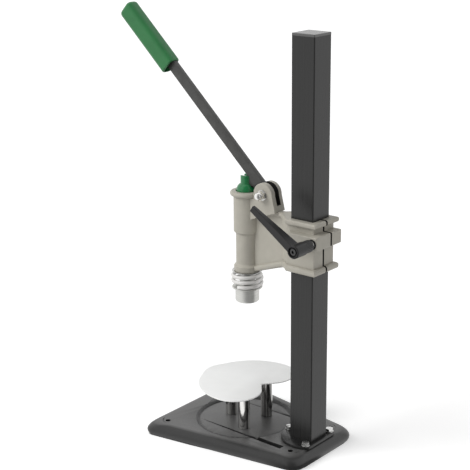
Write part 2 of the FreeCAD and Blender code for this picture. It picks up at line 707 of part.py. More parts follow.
end_cap = new_body("column_cap")
plate = new_sketch(end_cap, "XY", tube_top)
square(plate, half_column, half_column)
pad(end_cap, plate, d.cap_plate)
dress(end_cap, "Fillet", d.column_corner, lambda edge, at: upright(edge))
dress(end_cap, "Fillet", d.cap_plate / 4, lambda edge, at: at.z > number(tube_top + d.cap_plate) - SAME)
plug_half = half_column - d.column_wall - d.cap_slack
plug = new_sketch(end_cap, "XY", tube_top)
square(plug, plug_half, plug_half)
square(plug, plug_half - d.column_wall, plug_half - d.column_wall)
pad(end_cap, plug, d.cap_plug, turned=True)
node(end_cap)


def hex_bolt(body, x, y, head_low, shank_low):
    """An upright bolt: hexagon head above head_low, shank down to shank_low."""
    head = new_sketch(body, "XY", head_low)
    hexagon(head, x, y, d.hex_across)
    shank = new_sketch(body, "XY", head_low)
    ring_outline(shank, x, y, d.bolt_radius)
    return [pad(body, head, d.bolt_head_height), pad(body, shank, head_low - shank_low, turned=True)]


bolts = new_body("flange_bolts")
bolt_x, bolt_y = bolt_place(BOLT_ANGLES[0])
head_seat = flange_top + d.washer_thick
nut_low = base_ceiling - d.nut_height
pattern_round(bolts, hex_bolt(bolts, bolt_x, bolt_y, head_seat, nut_low - d.screw_past), len(BOLT_ANGLES))
node(bolts)

washers = new_body("flange_washers")
flat = new_sketch(washers, "XY", flange_top)
for angle in BOLT_ANGLES:
    ring_outline(flat, *bolt_place(angle), d.washer_radius)
    ring_outline(flat, *bolt_place(angle), bolt_hole)
pad(washers, flat, d.washer_thick)
node(washers)

nuts = new_body("flange_nuts")
nut_plan = new_sketch(nuts, "XY", base_ceiling)
for angle in BOLT_ANGLES:
    hexagon(nut_plan, *bolt_place(angle), d.hex_across)
    ring_outline(nut_plan, *bolt_place(angle), d.bolt_radius + d.thread_slack)
pad(nuts, nut_plan, d.nut_height, turned=True)
node(nuts)

# Bottle plate: sheet steel with two lobes and a notch towards the column, on three posts.
bottle_plate = new_body("bottle_plate")
lobes = new_sketch(bottle_plate, "XY", plate_low)
side_radius = d.lobe_offset + d.lobe_radius
notch_rise = d.lobe_forward - d.notch_forward
notch_far = d.lobe_offset * d.lobe_offset + notch_rise * notch_rise
touch_along = root(notch_far - d.lobe_radius * d.lobe_radius)
shrink = touch_along / notch_far
# Tangent from the notch to a lobe: a turn of the line between notch and lobe centre.
tangent_x = shrink * (d.lobe_offset * touch_along - notch_rise * -d.lobe_radius)
tangent_y = shrink * (-d.lobe_offset * -d.lobe_radius - notch_rise * touch_along)
lobe_touch_x = tangent_x
lobe_touch_y = tangent_y - d.notch_forward
# Outer tangent of the plate's side and its nose, both centred on the centre plane.
lean = (side_radius - d.nose_radius) / (d.nose_forward - d.lobe_forward)
across = root(1 - lean * lean)
side_touch = (side_radius * across, -side_radius * lean - d.lobe_forward)
nose_touch = (d.nose_radius * across, -d.nose_radius * lean - d.nose_forward)
closed_outline(lobes, [
    (0, -d.notch_forward),
    (lobe_touch_x, lobe_touch_y),
    (side_radius, -d.lobe_forward, "right", d.lobe_offset, -d.lobe_forward),
    (side_touch[0], side_touch[1], "right", 0, -d.lobe_forward),
    (nose_touch[0], nose_touch[1]),
    (-nose_touch[0], nose_touch[1], "right", 0, -d.nose_forward),
    (-side_touch[0], side_touch[1]),
    (-side_radius, -d.lobe_forward, "right", 0, -d.lobe_forward),
    (-lobe_touch_x, lobe_touch_y, "right", -d.lobe_offset, -d.lobe_forward)])
pad(bottle_plate, lobes, d.plate_thick)
dress(bottle_plate, "Fillet", d.post_radius / 2,
      lambda edge, at: upright(edge) and abs(at.x) < SAME and at.y > -number(d.lobe_forward))
node(bottle_plate)

stud_hole = d.stud_radius + d.thread_slack
stud_hole_end = plate_low - d.stud_length - d.hole_spare
post_screw_low = base_ceiling - d.button_height
for label, angle in POST_ANGLES.items():
    post_x, post_y = post_place(angle)
    post = new_body(label, x=post_x, y=post_y)
    turned(post, [
        (0, dish_floor + d.post_screw_grip), (bolt_hole, dish_floor + d.post_screw_grip),
        (bolt_hole, dish_floor), (d.post_radius - d.post_bevel, dish_floor),
        (d.post_radius, dish_floor + d.post_bevel), (d.post_radius, plate_low - d.post_bevel),
        (d.post_radius - d.post_bevel, plate_low), (stud_hole, plate_low),
        (stud_hole, stud_hole_end), (0, stud_hole_end)])
    node(post)

studs = new_body("plate_studs")
stud_plan = new_sketch(studs, "XY", plate_low)
for angle in POST_ANGLES.values():
    ring_outline(stud_plan, *post_place(angle), d.stud_radius)
pad(studs, stud_plan, d.stud_length, turned=True)
node(studs)

post_screws = new_body("post_screws")
head_plan = new_sketch(post_screws, "XY", post_screw_low)
shank_plan = new_sketch(post_screws, "XY", base_ceiling)
for angle in POST_ANGLES.values():
    ring_outline(head_plan, *post_place(angle), d.button_radius)
    ring_outline(shank_plan, *post_place(angle), d.bolt_radius)
pad(post_screws, head_plan, d.button_height)
pad(post_screws, shank_plan, dish_floor + d.post_screw_grip - d.hole_spare - base_ceiling)
node(post_screws)

# Head: one casting. A split clamp holds the column, a webbed arm carries the barrel,
# and two ears on the arm hold the lever.
head = new_body("head_casting")
low_lip_top = d.head_bottom + d.low_lip
barrel_side = -(d.reach - d.barrel_slim_radius)
past_back = lip_half + PAST


def arm_plan(half, front):
    """The clamp's outline with its flare down to the arm."""
    return [(-half, half), (-half, -d.flare_start), (-d.arm_half, -d.flare_end), (-d.arm_half, -front),
            (d.arm_half, -front), (d.arm_half, -d.flare_end), (half, -d.flare_start), (half, half)]


def on_lip(edge, at):
    """An edge of the outline of a lip, above or below, and not one across the arm."""
    return not upright(edge) and (at.y > 0 or abs(at.x) > number(d.arm_half) - SAME)


low_plan = new_sketch(head, "XY", rib_foot)
closed_outline(low_plan, arm_plan(lip_half, d.reach - d.bush_radius))
pad(head, low_plan, low_lip_top - rib_foot)
under_cut = new_sketch(head, "YZ")
closed_outline(under_cut, [
    (-d.reach, rib_foot - PAST), (past_back, rib_foot - PAST), (past_back, d.head_bottom),
    (-lip_half, d.head_bottom), (barrel_side, rib_foot), (-d.reach, rib_foot)])
pocket(head, under_cut, past_back * 2, both=True)
over_cut = new_sketch(head, "YZ")
closed_outline(over_cut, [
    (-d.reach, low_lip_top + PAST), (-lip_half, low_lip_top + PAST), (-lip_half, low_lip_top),
    (barrel_side, rib_foot + d.low_lip), (-d.reach, rib_foot + d.low_lip)])
pocket(head, over_cut, past_back * 2, both=True)
dress(head, "Fillet", d.low_lip_round, on_lip)
top_plan = new_sketch(head, "XY", head_top)
closed_outline(top_plan, arm_plan(lip_half, d.pivot_forward))
pad(head, top_plan, d.top_lip, turned=True)
dress(head, "Fillet", d.top_lip_round,
      lambda edge, at: on_lip(edge, at) and at.z > number(head_top - d.top_lip) - SAME)

wall_plan = new_sketch(head, "XY", low_lip_top - BURIED)
web_half = d.web_thick / 2
closed_outline(wall_plan, [
    (-wall_half, wall_half), (-wall_half, -d.flare_start), (-web_half, -d.flare_end),
    (web_half, -d.flare_end), (wall_half, -d.flare_start), (wall_half, wall_half)])
pad(head, wall_plan, head_top - d.top_lip - low_lip_top + BURIED * 2)

web = new_sketch(head, "YZ")
closed_outline(web, [
    (barrel_side - BURIED, rib_foot + BURIED), (-half_column, d.head_bottom + BURIED),
    (-half_column, head_top - BURIED), (barrel_side - BURIED, head_top - BURIED)])
pad(head, web, d.web_thick, both=True)

ears = new_sketch(head, "YZ")
ear_rear = d.ear_radius - d.pivot_forward
ear_front = -d.ear_radius - d.pivot_forward
closed_outline(ears, [
    (-d.ear_back, head_top - PAST),
    (ear_rear, pivot_height),
    (ear_front, pivot_height, "left", -d.pivot_forward, pivot_height),
    (ear_front, collar_low),
    (barrel_side, collar_low),
    (barrel_side, head_top - d.ear_hang)])
pad(head, ears, d.ear_half * 2, both=True)
dress(head, "Fillet", d.ear_round, lambda edge, at: at.z > number(head_top) + SAME
      and abs(abs(at.x) - number(d.ear_half)) < SAME and at.y > number(ear_front) + SAME)

barrel = new_sketch(head, "XZ", d.reach)
foot_top = barrel_low + d.barrel_foot_height
collar_half = d.collar_height / 2
collar_flat = d.collar_radius - collar_half
closed_outline(barrel, [
    (0, barrel_low), (d.barrel_foot_radius, barrel_low),
    (d.barrel_foot_radius, foot_top - d.barrel_foot_bevel), (d.barrel_slim_radius, foot_top),
    (d.barrel_slim_radius, barrel_step), (d.barrel_radius, barrel_step + d.barrel_cone),
    (d.barrel_radius, collar_low), (collar_flat, collar_low),
    (collar_flat, collar_top, "left", collar_flat, collar_low + collar_half),
    (0, collar_top)])
revolve(head, barrel)

lug = new_sketch(head, "XY", screw_height - d.lug_half)
closed_outline(lug, [
    (-d.lug_far_side, half_column), (-d.lug_far_side, d.lug_back), (d.lug_side, d.lug_back),
    (d.lug_side, -d.lug_front), (half_column, -d.flare_start)])
pad(head, lug, d.lug_half * 2)


def on_lug(edge, at):
    return (abs(at.z - number(screw_height)) < number(d.lug_half) + SAME
            and (at.y > number(wall_half) + SAME or abs(at.x) > number(wall_half) + SAME))


dress(head, "Fillet", d.lug_round, lambda edge, at: upright(edge) and on_lug(edge, at) and at.y > 0)
dress(head, "Fillet", d.lug_edge, lambda edge, at: not upright(edge) and on_lug(edge, at)
      and abs(at.z - number(screw_height)) > number(d.lug_half) - SAME)

column_bore = new_sketch(head, "XY", head_top + PAST)
square(column_bore, bore_half, bore_half)
pocket(head, column_bore, d.clamp_height + PAST * 2)

bores = new_sketch(head, "XZ", d.reach)
closed_outline(bores, [
    (0, barrel_low - PAST), (d.bush_radius, barrel_low - PAST), (d.bush_radius, bore_floor),
    (d.spring_bore_radius, bore_floor), (d.spring_bore_radius, collar_top + PAST),
    (0, collar_top + PAST)])
revolve(head, bores, "Groove")

slot = new_sketch(head, "YZ")
slot_floor = pivot_height - d.slot_drop
slot_top = pivot_height + d.ear_radius + PAST
slot_rear = PAST - d.ear_back
closed_outline(slot, [
    (-d.reach, slot_floor), (slot_rear, slot_floor), (slot_rear, slot_top), (-d.reach, slot_top)])
pocket(head, slot, d.ear_slot_half * 2, both=True)

split = new_sketch(head, "XY", head_top + PAST)
closed_outline(split, [
    (-d.slit / 2, half_column), (d.slit / 2, half_column), (d.slit / 2, d.lug_back + PAST),
    (-d.slit / 2, d.lug_back + PAST)])
pocket(head, split, d.clamp_height + PAST * 2)

pivot_hole = new_sketch(head, "YZ")
ring_outline(pivot_hole, -d.pivot_forward, pivot_height, d.pivot_radius + d.pivot_slack)
pocket(head, pivot_hole, (d.ear_half + PAST) * 2, both=True)
screw_hole = new_sketch(head, "YZ")
ring_outline(screw_hole, d.screw_back, screw_height, d.clamp_stud_radius + d.clamp_hole_slack)
pocket(head, screw_hole, (d.lug_side + PAST) * 2, both=True)
nut_seat = new_sketch(head, "YZ", -d.lug_far_side)
hexagon(nut_seat, d.screw_back, screw_height, d.clamp_nut_across + d.nut_slack * 2, first_corner=90)
pocket(head, nut_seat, d.nut_pocket, turned=True)
node(head)

# Guide bush in the foot of the barrel, with a flange on the bore's floor.
bush = new_body("guide_bush", y=-d.reach)
rod_bore = d.rod_radius + d.rod_slack
bush_top = bore_floor + d.bush_flange
turned(bush, [
    (rod_bore, barrel_low), (d.bush_radius, barrel_low), (d.bush_radius, bore_floor),
    (d.bush_flange_radius, bore_floor), (d.bush_flange_radius, bush_top), (rod_bore, bush_top)])
node(bush)

# Pivot: an M10 bolt through both ears, with washers and a dome nut.
bolt_seat = d.ear_half + d.pivot_washer_thick
pivot_bolt = new_body("pivot_bolt", y=-d.pivot_forward, z=pivot_height, turn=ALONG_X)
bolt_head = new_sketch(pivot_bolt, "XY", -bolt_seat)
hexagon(bolt_head, 0, 0, d.pivot_across)
pad(pivot_bolt, bolt_head, d.pivot_head_height, turned=True)
bolt_shank = new_sketch(pivot_bolt, "XY", -bolt_seat)
ring_outline(bolt_shank, 0, 0, d.pivot_radius)
pad(pivot_bolt, bolt_shank, bolt_seat * 2 + d.pivot_nut_height)
node(pivot_bolt)

pivot_washers = new_body("pivot_washers", y=-d.pivot_forward, z=pivot_height, turn=ALONG_X)
for face in (d.ear_half, -d.ear_half):
    washer = new_sketch(pivot_washers, "XY", face)
    ring_outline(washer, 0, 0, d.pivot_washer_radius)
    ring_outline(washer, 0, 0, d.pivot_radius + d.pivot_slack)
    pad(pivot_washers, washer, d.pivot_washer_thick, turned=number(face) < 0)
node(pivot_washers)

pivot_nut = new_body("pivot_nut", y=-d.pivot_forward, z=pivot_height, turn=ALONG_X)
nut_hex = new_sketch(pivot_nut, "XY", bolt_seat)
hexagon(nut_hex, 0, 0, d.pivot_across)
pad(pivot_nut, nut_hex, d.pivot_nut_height)
dome = new_sketch(pivot_nut, "XZ")
dome_low = bolt_seat + d.pivot_nut_height - PAST
dome_radius = d.pivot_across / 2
dome_top = bolt_seat + d.dome_height
closed_outline(dome, [
    (0, dome_low), (dome_radius, dome_low), (dome_radius, dome_top - dome_radius),
    (0, dome_top, "left", 0, dome_top - dome_radius)])
revolve(pivot_nut, dome)
blind = new_sketch(pivot_nut, "XY", bolt_seat)
ring_outline(blind, 0, 0, d.pivot_radius + d.thread_slack)
pocket(pivot_nut, blind, d.pivot_nut_height + d.hole_spare, turned=True)
node(pivot_nut)
# Lever: drawn lying towards the front, its pivot at the body's origin, then raised.
LEVER_UP = Rotation(Vector(-1, 0, 0), number(d.lever_rest))


def lever_body(label):
    body = new_body(label, y=-d.pivot_forward, z=pivot_height, turn=LEVER_UP)
    bind(body, ".Placement.Rotation.Angle", d.lever_rest)
    return body


lever = lever_body("lever_bar")
bar = new_sketch(lever, "YZ")
half_bar = d.lever_half_height
heel_y = -d.heel_reach * cosine(d.heel_drop)
heel_z = -d.heel_reach * sine(d.heel_drop)
# The hollow's centre, from the triangle that it makes with the pivot and the heel.
to_pivot = d.neck_radius + half_bar
to_heel = d.neck_radius + d.heel_radius
open_cos = (d.heel_reach * d.heel_reach + to_pivot * to_pivot - to_heel * to_heel) / (
    2 * d.heel_reach * to_pivot)
open_sin = root(1 - open_cos * open_cos)
neck_way_y = open_sin * sine(d.heel_drop) - open_cos * cosine(d.heel_drop)
neck_way_z = -open_sin * cosine(d.heel_drop) - open_cos * sine(d.heel_drop)
neck_y = to_pivot * neck_way_y
neck_z = to_pivot * neck_way_z
heel_share = d.heel_radius / to_heel
closed_outline(bar, [
    (-d.lever_length, half_bar),
    (-d.lever_length, -half_bar),
    (heel_y - d.heel_radius, -half_bar),
    (heel_y - d.heel_radius, heel_z),
    (heel_y + (neck_y - heel_y) * heel_share, heel_z + (neck_z - heel_z) * heel_share,
     "left", heel_y, heel_z),
    (half_bar * neck_way_y, half_bar * neck_way_z, "right", neck_y, neck_z),
    (0, half_bar, "left", 0, 0)])
pad(lever, bar, d.lever_thick, both=True)
bush_seat = new_sketch(lever, "YZ")
ring_outline(bush_seat, 0, 0, d.lever_bush_radius)
pocket(lever, bush_seat, d.lever_thick + PAST * 2, both=True)
node(lever)

lever_bush = lever_body("pivot_bush")
bush_ring = new_sketch(lever_bush, "YZ")
ring_outline(bush_ring, 0, 0, d.lever_bush_radius)
ring_outline(bush_ring, 0, 0, d.pivot_radius + d.pivot_slack)
pad(lever_bush, bush_ring, d.lever_thick + d.lever_bush_proud * 2, both=True)
node(lever_bush)

grip = lever_body("lever_grip")
grip_end = new_sketch(grip, "XZ", d.grip_start)
grip_side = d.grip_width / 2
grip_top = d.grip_height / 2 - d.grip_drop
grip_low = -d.grip_height / 2 - d.grip_drop
closed_outline(grip_end, [
    (-grip_side, grip_low), (grip_side, grip_low), (grip_side, grip_top), (-grip_side, grip_top)])
pad(grip, grip_end, d.grip_length)
dress(grip, "Fillet", d.grip_round, lambda edge, at: abs(abs(at.x) - number(grip_side)) < SAME
      and min(abs(at.z - number(grip_top)), abs(at.z - number(grip_low))) < SAME)
dress(grip, "Fillet", d.grip_end_round, lambda edge, at: at.y < -number(d.grip_start + d.grip_length) + SAME)
socket_half = d.lever_thick / 2 + d.grip_slack
socket = new_sketch(grip, "XZ", d.grip_start)
square(socket, socket_half, half_bar + d.grip_slack)
pocket(grip, socket, d.lever_length - d.grip_start + d.grip_slack, turned=True)
mouth = new_sketch(grip, "XZ", d.grip_start)
mouth_side = grip_side - d.grip_mouth_wall
closed_outline(mouth, [
    (-mouth_side, grip_low + d.grip_mouth_wall), (mouth_side, grip_low + d.grip_mouth_wall),
    (mouth_side, grip_top - d.grip_mouth_wall), (-mouth_side, grip_top - d.grip_mouth_wall)])
pocket(grip, mouth, d.grip_mouth_depth, turned=True)
node(grip)

# Plunger: rod with a disc at its foot, and the green cap that the lever's heel presses.
cap = new_body("plunger_cap", y=-d.reach)
heel_height = pivot_height + d.heel_reach * sine(d.lever_rest - d.heel_drop)
gap_floor = heel_height - d.heel_radius - d.heel_gap
cap_top = gap_floor + d.cheek_height
rod_top = cap_low + d.cap_seat_depth
skirt_top = cap_low + d.cap_skirt
dome_middle = d.cap_radius - d.cap_dome
dome_in = d.cap_top_radius - dome_middle
cap_step = skirt_top + root(d.cap_dome * d.cap_dome - dome_in * dome_in)
turned(cap, [
    (0, rod_top), (d.rod_radius, rod_top), (d.rod_radius, cap_low), (d.cap_radius, cap_low),
    (d.cap_radius, skirt_top), (d.cap_top_radius, cap_step, "left", dome_middle, skirt_top),
    (d.cap_top_radius, cap_top), (0, cap_top)])
gap = new_sketch(cap, "YZ")
gap_half = d.cap_radius + PAST
closed_outline(gap, [
    (-gap_half, gap_floor), (gap_half, gap_floor), (gap_half, cap_top + PAST), (-gap_half, cap_top + PAST)])
pocket(cap, gap, d.cheek_gap_half * 2, both=True)
dress(cap, "Fillet", d.cap_top_round, lambda edge, at: at.z > number(cap_top) - SAME)
node(cap)

rod = new_body("plunger_rod", y=-d.reach)
screw_room = d.bell_screw_radius + d.thread_slack
screw_tip = roof_low + d.bell_screw_length
turned(rod, [
    (0, screw_tip + d.hole_spare), (screw_room, screw_tip + d.hole_spare), (screw_room, roof_low),
    (d.spigot_radius, roof_low), (d.spigot_radius, disc_low), (d.disc_radius - d.disc_bevel, disc_low),
    (d.disc_radius, disc_low + d.disc_bevel), (d.disc_radius, disc_top), (d.rod_radius, disc_top),
    (d.rod_radius, rod_top - d.rod_bevel), (d.rod_radius - d.rod_bevel, rod_top), (0, rod_top)])
node(rod)

return_spring = new_body("return_spring", y=-d.reach)
coil(return_spring, d.return_mean, d.return_wire, d.return_pitch,
     bush_top + d.spring_seat_gap, cap_low - d.spring_seat_gap)
node(return_spring)

# Bell: an aluminium cup that slides on the rod's spigot, pushed down by the buffer spring.
bell = new_body("capping_bell", y=-d.reach)
neck_top = flange_seat + d.bell_neck
spigot_bore = d.spigot_radius + d.spigot_slack
mouth_middle = d.bell_radius - d.bell_round
seat_flat = d.bell_flange_radius - d.bell_flange_round
seat_low = bell_top + d.bell_flange_round
seat_high = flange_seat - d.bell_flange_round
turned(bell, [
    (spigot_bore, roof_low), (d.throat_seat_radius, roof_low), (d.throat_seat_radius, bell_low),
    (mouth_middle, bell_low),
    (d.bell_radius, bell_low + d.bell_round, "left", mouth_middle, bell_low + d.bell_round),
    (d.bell_radius, bell_top), (seat_flat, bell_top),
    (d.bell_flange_radius, seat_low, "left", seat_flat, seat_low), (d.bell_flange_radius, seat_high),
    (seat_flat, flange_seat, "left", seat_flat, seat_high),
    (d.bell_neck_radius, flange_seat), (d.bell_neck_radius, neck_top), (spigot_bore, neck_top)])
node(bell)

buffer_spring = new_body("buffer_spring", y=-d.reach)
coil(buffer_spring, d.buffer_radius - d.buffer_wire / 2, d.buffer_wire, d.buffer_pitch,
     flange_seat + d.spring_seat_gap, disc_low - d.spring_seat_gap)
node(buffer_spring)

throat = new_body("crimping_ring", y=-d.reach)
throat_low = bell_low + d.throat_inset
turned(throat, [
    (d.throat_radius, roof_low - d.throat_lead), (d.throat_radius, throat_low + d.throat_flare),
    (d.throat_mouth_radius, throat_low), (d.throat_seat_radius, throat_low),
    (d.throat_seat_radius, roof_low), (d.throat_seat_radius - d.throat_lead / 2, roof_low)])
node(throat)

stop_washer = new_body("bell_washer", y=-d.reach)
turned(stop_washer, [
    (bolt_hole, stop_low), (d.stop_radius, stop_low), (d.stop_radius, roof_low),
    (bolt_hole, roof_low)])
node(stop_washer)

magnet = new_body("cap_magnet", y=-d.reach)
magnet_bore = d.bell_screw_head_radius + d.magnet_slack
turned(magnet, [
    (magnet_bore, magnet_low), (d.magnet_radius, magnet_low), (d.magnet_radius, stop_low),
    (magnet_bore, stop_low)])
node(magnet)

bell_screw = new_body("bell_screw", y=-d.reach)
head_low = magnet_low + d.bell_screw_sunk
key_end = head_low + d.key_depth
turned(bell_screw, [
    (0, key_end), (d.key_radius, key_end), (d.key_radius, head_low),
    (d.bell_screw_head_radius, head_low), (d.bell_screw_head_radius, stop_low),
    (d.bell_screw_radius, stop_low), (d.bell_screw_radius, screw_tip), (0, screw_tip)])
node(bell_screw)

# Clamp screw: a steel insert with its stud through the lug, and the nut in its pocket.
ON_SCREW = {"y": d.screw_back, "z": screw_height, "turn": ALONG_X}
insert = new_body("clamp_stud", **ON_SCREW)
nut_face = d.nut_pocket - d.lug_far_side
stud_end = nut_face - d.clamp_nut_height - d.hole_spare
hub_low = d.lug_side + d.handle_gap
insert_top = d.lug_side + d.insert_length
teeth_start = insert_top - d.insert_teeth_length
washer_face = d.lug_side + d.washer_thick
collar_end = hub_low - d.end_play
tapped_radius = d.handle_screw_radius + d.thread_slack
tapped_end = insert_top - d.handle_screw_grip - d.hole_spare
turned(insert, [
    (0, stud_end), (d.clamp_stud_radius - d.stud_bevel, stud_end),
    (d.clamp_stud_radius, stud_end + d.stud_bevel), (d.clamp_stud_radius, washer_face),
    (d.insert_collar_radius, washer_face), (d.insert_collar_radius, collar_end),
    (d.insert_radius, collar_end), (d.insert_radius, teeth_start),
    (d.insert_teeth_radius, teeth_start), (d.insert_teeth_radius, insert_top),
    (tapped_radius, insert_top), (tapped_radius, tapped_end), (0, tapped_end)])
node(insert)

clamp_washer = new_body("clamp_washer", **ON_SCREW)
flat_ring = new_sketch(clamp_washer, "XY", d.lug_side)
ring_outline(flat_ring, 0, 0, d.clamp_washer_radius)
ring_outline(flat_ring, 0, 0, d.clamp_stud_radius + d.clamp_hole_slack)
pad(clamp_washer, flat_ring, d.washer_thick)
node(clamp_washer)

clamp_nut = new_body("clamp_nut", **ON_SCREW)
clamp_hex = new_sketch(clamp_nut, "XY", nut_face)
hexagon(clamp_hex, 0, 0, d.clamp_nut_across)
ring_outline(clamp_hex, 0, 0, d.clamp_stud_radius + d.thread_slack)
pad(clamp_nut, clamp_hex, d.clamp_nut_height, turned=True)
node(clamp_nut)

# Clamp lever: a moulded arm on the insert. It lifts against a small spring to clear its teeth.
FLUTES = 18
HANDLE_UP = Rotation(Vector(-1, 0, 0), number(d.handle_rise))
clamp_lever = new_body("clamp_lever", y=d.screw_back, z=screw_height, turn=HANDLE_UP)
bind(clamp_lever, ".Placement.Rotation.Angle", d.handle_rise)
hub_neck = hub_low + d.handle_neck_length
hub_end = d.handle_length
tip_face = hub_end - d.handle_tip_in
arm_ends = []
for reached, inner_face, outer_face, width in (
        (0, hub_end - d.handle_root_thick, hub_end, d.handle_root_width),
        (d.handle_reach, tip_face - d.handle_tip_thick, tip_face, d.handle_tip_width)):
    arm_ends.append(new_sketch(clamp_lever, "XZ", reached))
    closed_outline(arm_ends[-1], [
        (inner_face, -width / 2), (outer_face, -width / 2),
        (outer_face, width / 2), (inner_face, width / 2)])
loft(clamp_lever, "AdditiveLoft", arm_ends)
dress(clamp_lever, "Fillet", d.handle_edge, lambda edge, at: at.y < -SAME)
hub = new_sketch(clamp_lever, "XY")
closed_outline(hub, [
    (hub_low, 0), (hub_low, d.handle_neck_radius - d.handle_edge),
    (hub_low + d.handle_edge, d.handle_neck_radius), (hub_neck, d.handle_neck_radius),
    (hub_neck, d.handle_hub_radius), (hub_end - d.handle_edge, d.handle_hub_radius),
    (hub_end, d.handle_hub_radius - d.handle_edge), (hub_end, 0)])
revolve(clamp_lever, hub, axis="H_Axis")
flute = new_sketch(clamp_lever, "YZ", hub_neck - d.flute_land)
ring_outline(flute, d.handle_neck_radius + d.flute_out, 0, d.flute_radius)
flute_cut = pocket(clamp_lever, flute, d.handle_neck_length - d.flute_land + PAST)
pattern_round(clamp_lever, [flute_cut], FLUTES, axis="X")

chamber_low = insert_top + d.end_play
chamber_floor = chamber_low + d.handle_floor
insert_hole = d.insert_radius + d.insert_slack
teeth_hole = d.insert_teeth_radius + d.insert_slack
teeth_low = teeth_start - d.handle_lift - d.end_play
screw_way_radius = d.handle_screw_radius + d.handle_screw_slack
recess_floor = hub_end - d.handle_recess
screw_way = new_sketch(clamp_lever, "XY")
closed_outline(screw_way, [
    (hub_low - PAST, 0), (hub_low - PAST, insert_hole), (teeth_low, insert_hole), (teeth_low, teeth_hole),
    (chamber_low, teeth_hole), (chamber_low, screw_way_radius), (chamber_floor, screw_way_radius),
    (chamber_floor, d.handle_bore_radius), (recess_floor, d.handle_bore_radius),
    (recess_floor, d.handle_recess_radius), (hub_end + PAST, d.handle_recess_radius), (hub_end + PAST, 0)])
revolve(clamp_lever, screw_way, "Groove", axis="H_Axis")
node(clamp_lever)

handle_screw = new_body("handle_screw", **ON_SCREW)
screw_seat = recess_floor - d.handle_screw_sunk
screw_face = screw_seat + d.handle_screw_height
screw_foot = insert_top - d.handle_screw_grip
turned(handle_screw, [
    (0, screw_foot), (d.handle_screw_radius, screw_foot), (d.handle_screw_radius, screw_seat),
    (d.handle_screw_head, screw_seat), (d.handle_screw_head, screw_face), (d.key_radius, screw_face),
    (d.key_radius, screw_face - d.key_depth), (0, screw_face - d.key_depth)])
node(handle_screw)

handle_spring = new_body("handle_spring", **ON_SCREW)
coil(handle_spring, d.handle_spring_mean, d.handle_spring_wire, d.handle_spring_pitch,
     chamber_floor + d.spring_seat_gap, screw_seat - d.spring_seat_gap)
node(handle_spring)

doc.recompute()

# Every object is up to date and every piece is a sound solid before anything is written.
for item in doc.Objects:
    if "Invalid" in item.State or "Error" in item.State:
        raise ValueError("%s failed: %s" % (item.Name, item.State))
os.makedirs("parts", exist_ok=True)
for piece in NODES:
    shape = piece.Shape
    if shape.isNull() or not shape.isValid() or not shape.Solids:
        raise ValueError("%s has no sound solid" % piece.Label)
    shape.exportStep("parts/%s.step" % piece.Label)
    box = shape.BoundBox
    print("%-16s %2d solid  %10.0f mm3  x %7.1f %7.1f  y %7.1f %7.1f  z %7.1f %7.1f" % (
        piece.Label, len(shape.Solids), shape.Volume, box.XMin, box.XMax, box.YMin, box.YMax,
        box.ZMin, box.ZMax))
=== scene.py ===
import json
import math

import bmesh
import bpy
from mathutils import Matrix, Vector


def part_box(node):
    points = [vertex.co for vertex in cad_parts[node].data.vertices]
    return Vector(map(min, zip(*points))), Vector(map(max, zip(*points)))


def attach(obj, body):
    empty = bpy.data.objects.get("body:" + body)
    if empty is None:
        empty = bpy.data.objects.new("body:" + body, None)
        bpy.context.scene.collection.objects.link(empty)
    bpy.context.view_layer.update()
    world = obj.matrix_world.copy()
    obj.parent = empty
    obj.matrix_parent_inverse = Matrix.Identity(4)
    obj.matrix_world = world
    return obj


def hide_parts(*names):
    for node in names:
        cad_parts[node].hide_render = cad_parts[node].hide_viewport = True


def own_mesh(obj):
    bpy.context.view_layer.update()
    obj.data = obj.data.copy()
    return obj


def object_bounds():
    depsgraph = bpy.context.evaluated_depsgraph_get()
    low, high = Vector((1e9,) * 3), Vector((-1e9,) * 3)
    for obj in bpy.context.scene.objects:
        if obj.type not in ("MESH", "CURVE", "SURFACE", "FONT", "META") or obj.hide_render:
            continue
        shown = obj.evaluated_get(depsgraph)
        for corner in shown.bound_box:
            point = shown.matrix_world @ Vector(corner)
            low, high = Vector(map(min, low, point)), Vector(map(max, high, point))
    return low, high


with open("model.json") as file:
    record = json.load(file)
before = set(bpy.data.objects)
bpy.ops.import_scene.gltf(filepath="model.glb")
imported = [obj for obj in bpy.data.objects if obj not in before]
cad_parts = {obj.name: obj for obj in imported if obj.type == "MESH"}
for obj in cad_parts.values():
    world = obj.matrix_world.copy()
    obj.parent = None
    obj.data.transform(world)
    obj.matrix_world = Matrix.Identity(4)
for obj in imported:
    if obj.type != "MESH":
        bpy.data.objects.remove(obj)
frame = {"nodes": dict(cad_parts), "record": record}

cad_low, cad_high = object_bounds()

# Studio. A wide pale floor under a white sky, with a broad soft sun from the machine's front right
# and a weak one behind the camera. Shiny surfaces see no lamps, but a white room that is dim on the
# camera's side. The camera stands behind the machine, on its clamp lever's side.
PICTURE = 470
FOCAL_PIXELS = 1234.35
SENSOR = 36.0
EYE = Vector((1.7397, 1.2673, 1.0824))
LOOK_TURN = math.radians(129.7)
LOOK_DOWN = math.radians(16.87)
LOOK_ROLL = math.radians(-0.56)
FAR_CLIP = 50.0

scene = bpy.context.scene
scene.view_settings.view_transform = "Standard"
camera = bpy.data.objects.new("camera", bpy.data.cameras.new("camera"))
camera.data.sensor_width = SENSOR
camera.data.lens = FOCAL_PIXELS * SENSOR / PICTURE
camera.data.clip_end = FAR_CLIP
look = (Matrix.Rotation(LOOK_TURN, 4, "Z") @ Matrix.Rotation(math.pi / 2 - LOOK_DOWN, 4, "X")
        @ Matrix.Rotation(LOOK_ROLL, 4, "Z"))
camera.matrix_world = Matrix.Translation(EYE) @ look
scene.collection.objects.link(camera)
scene.camera = camera


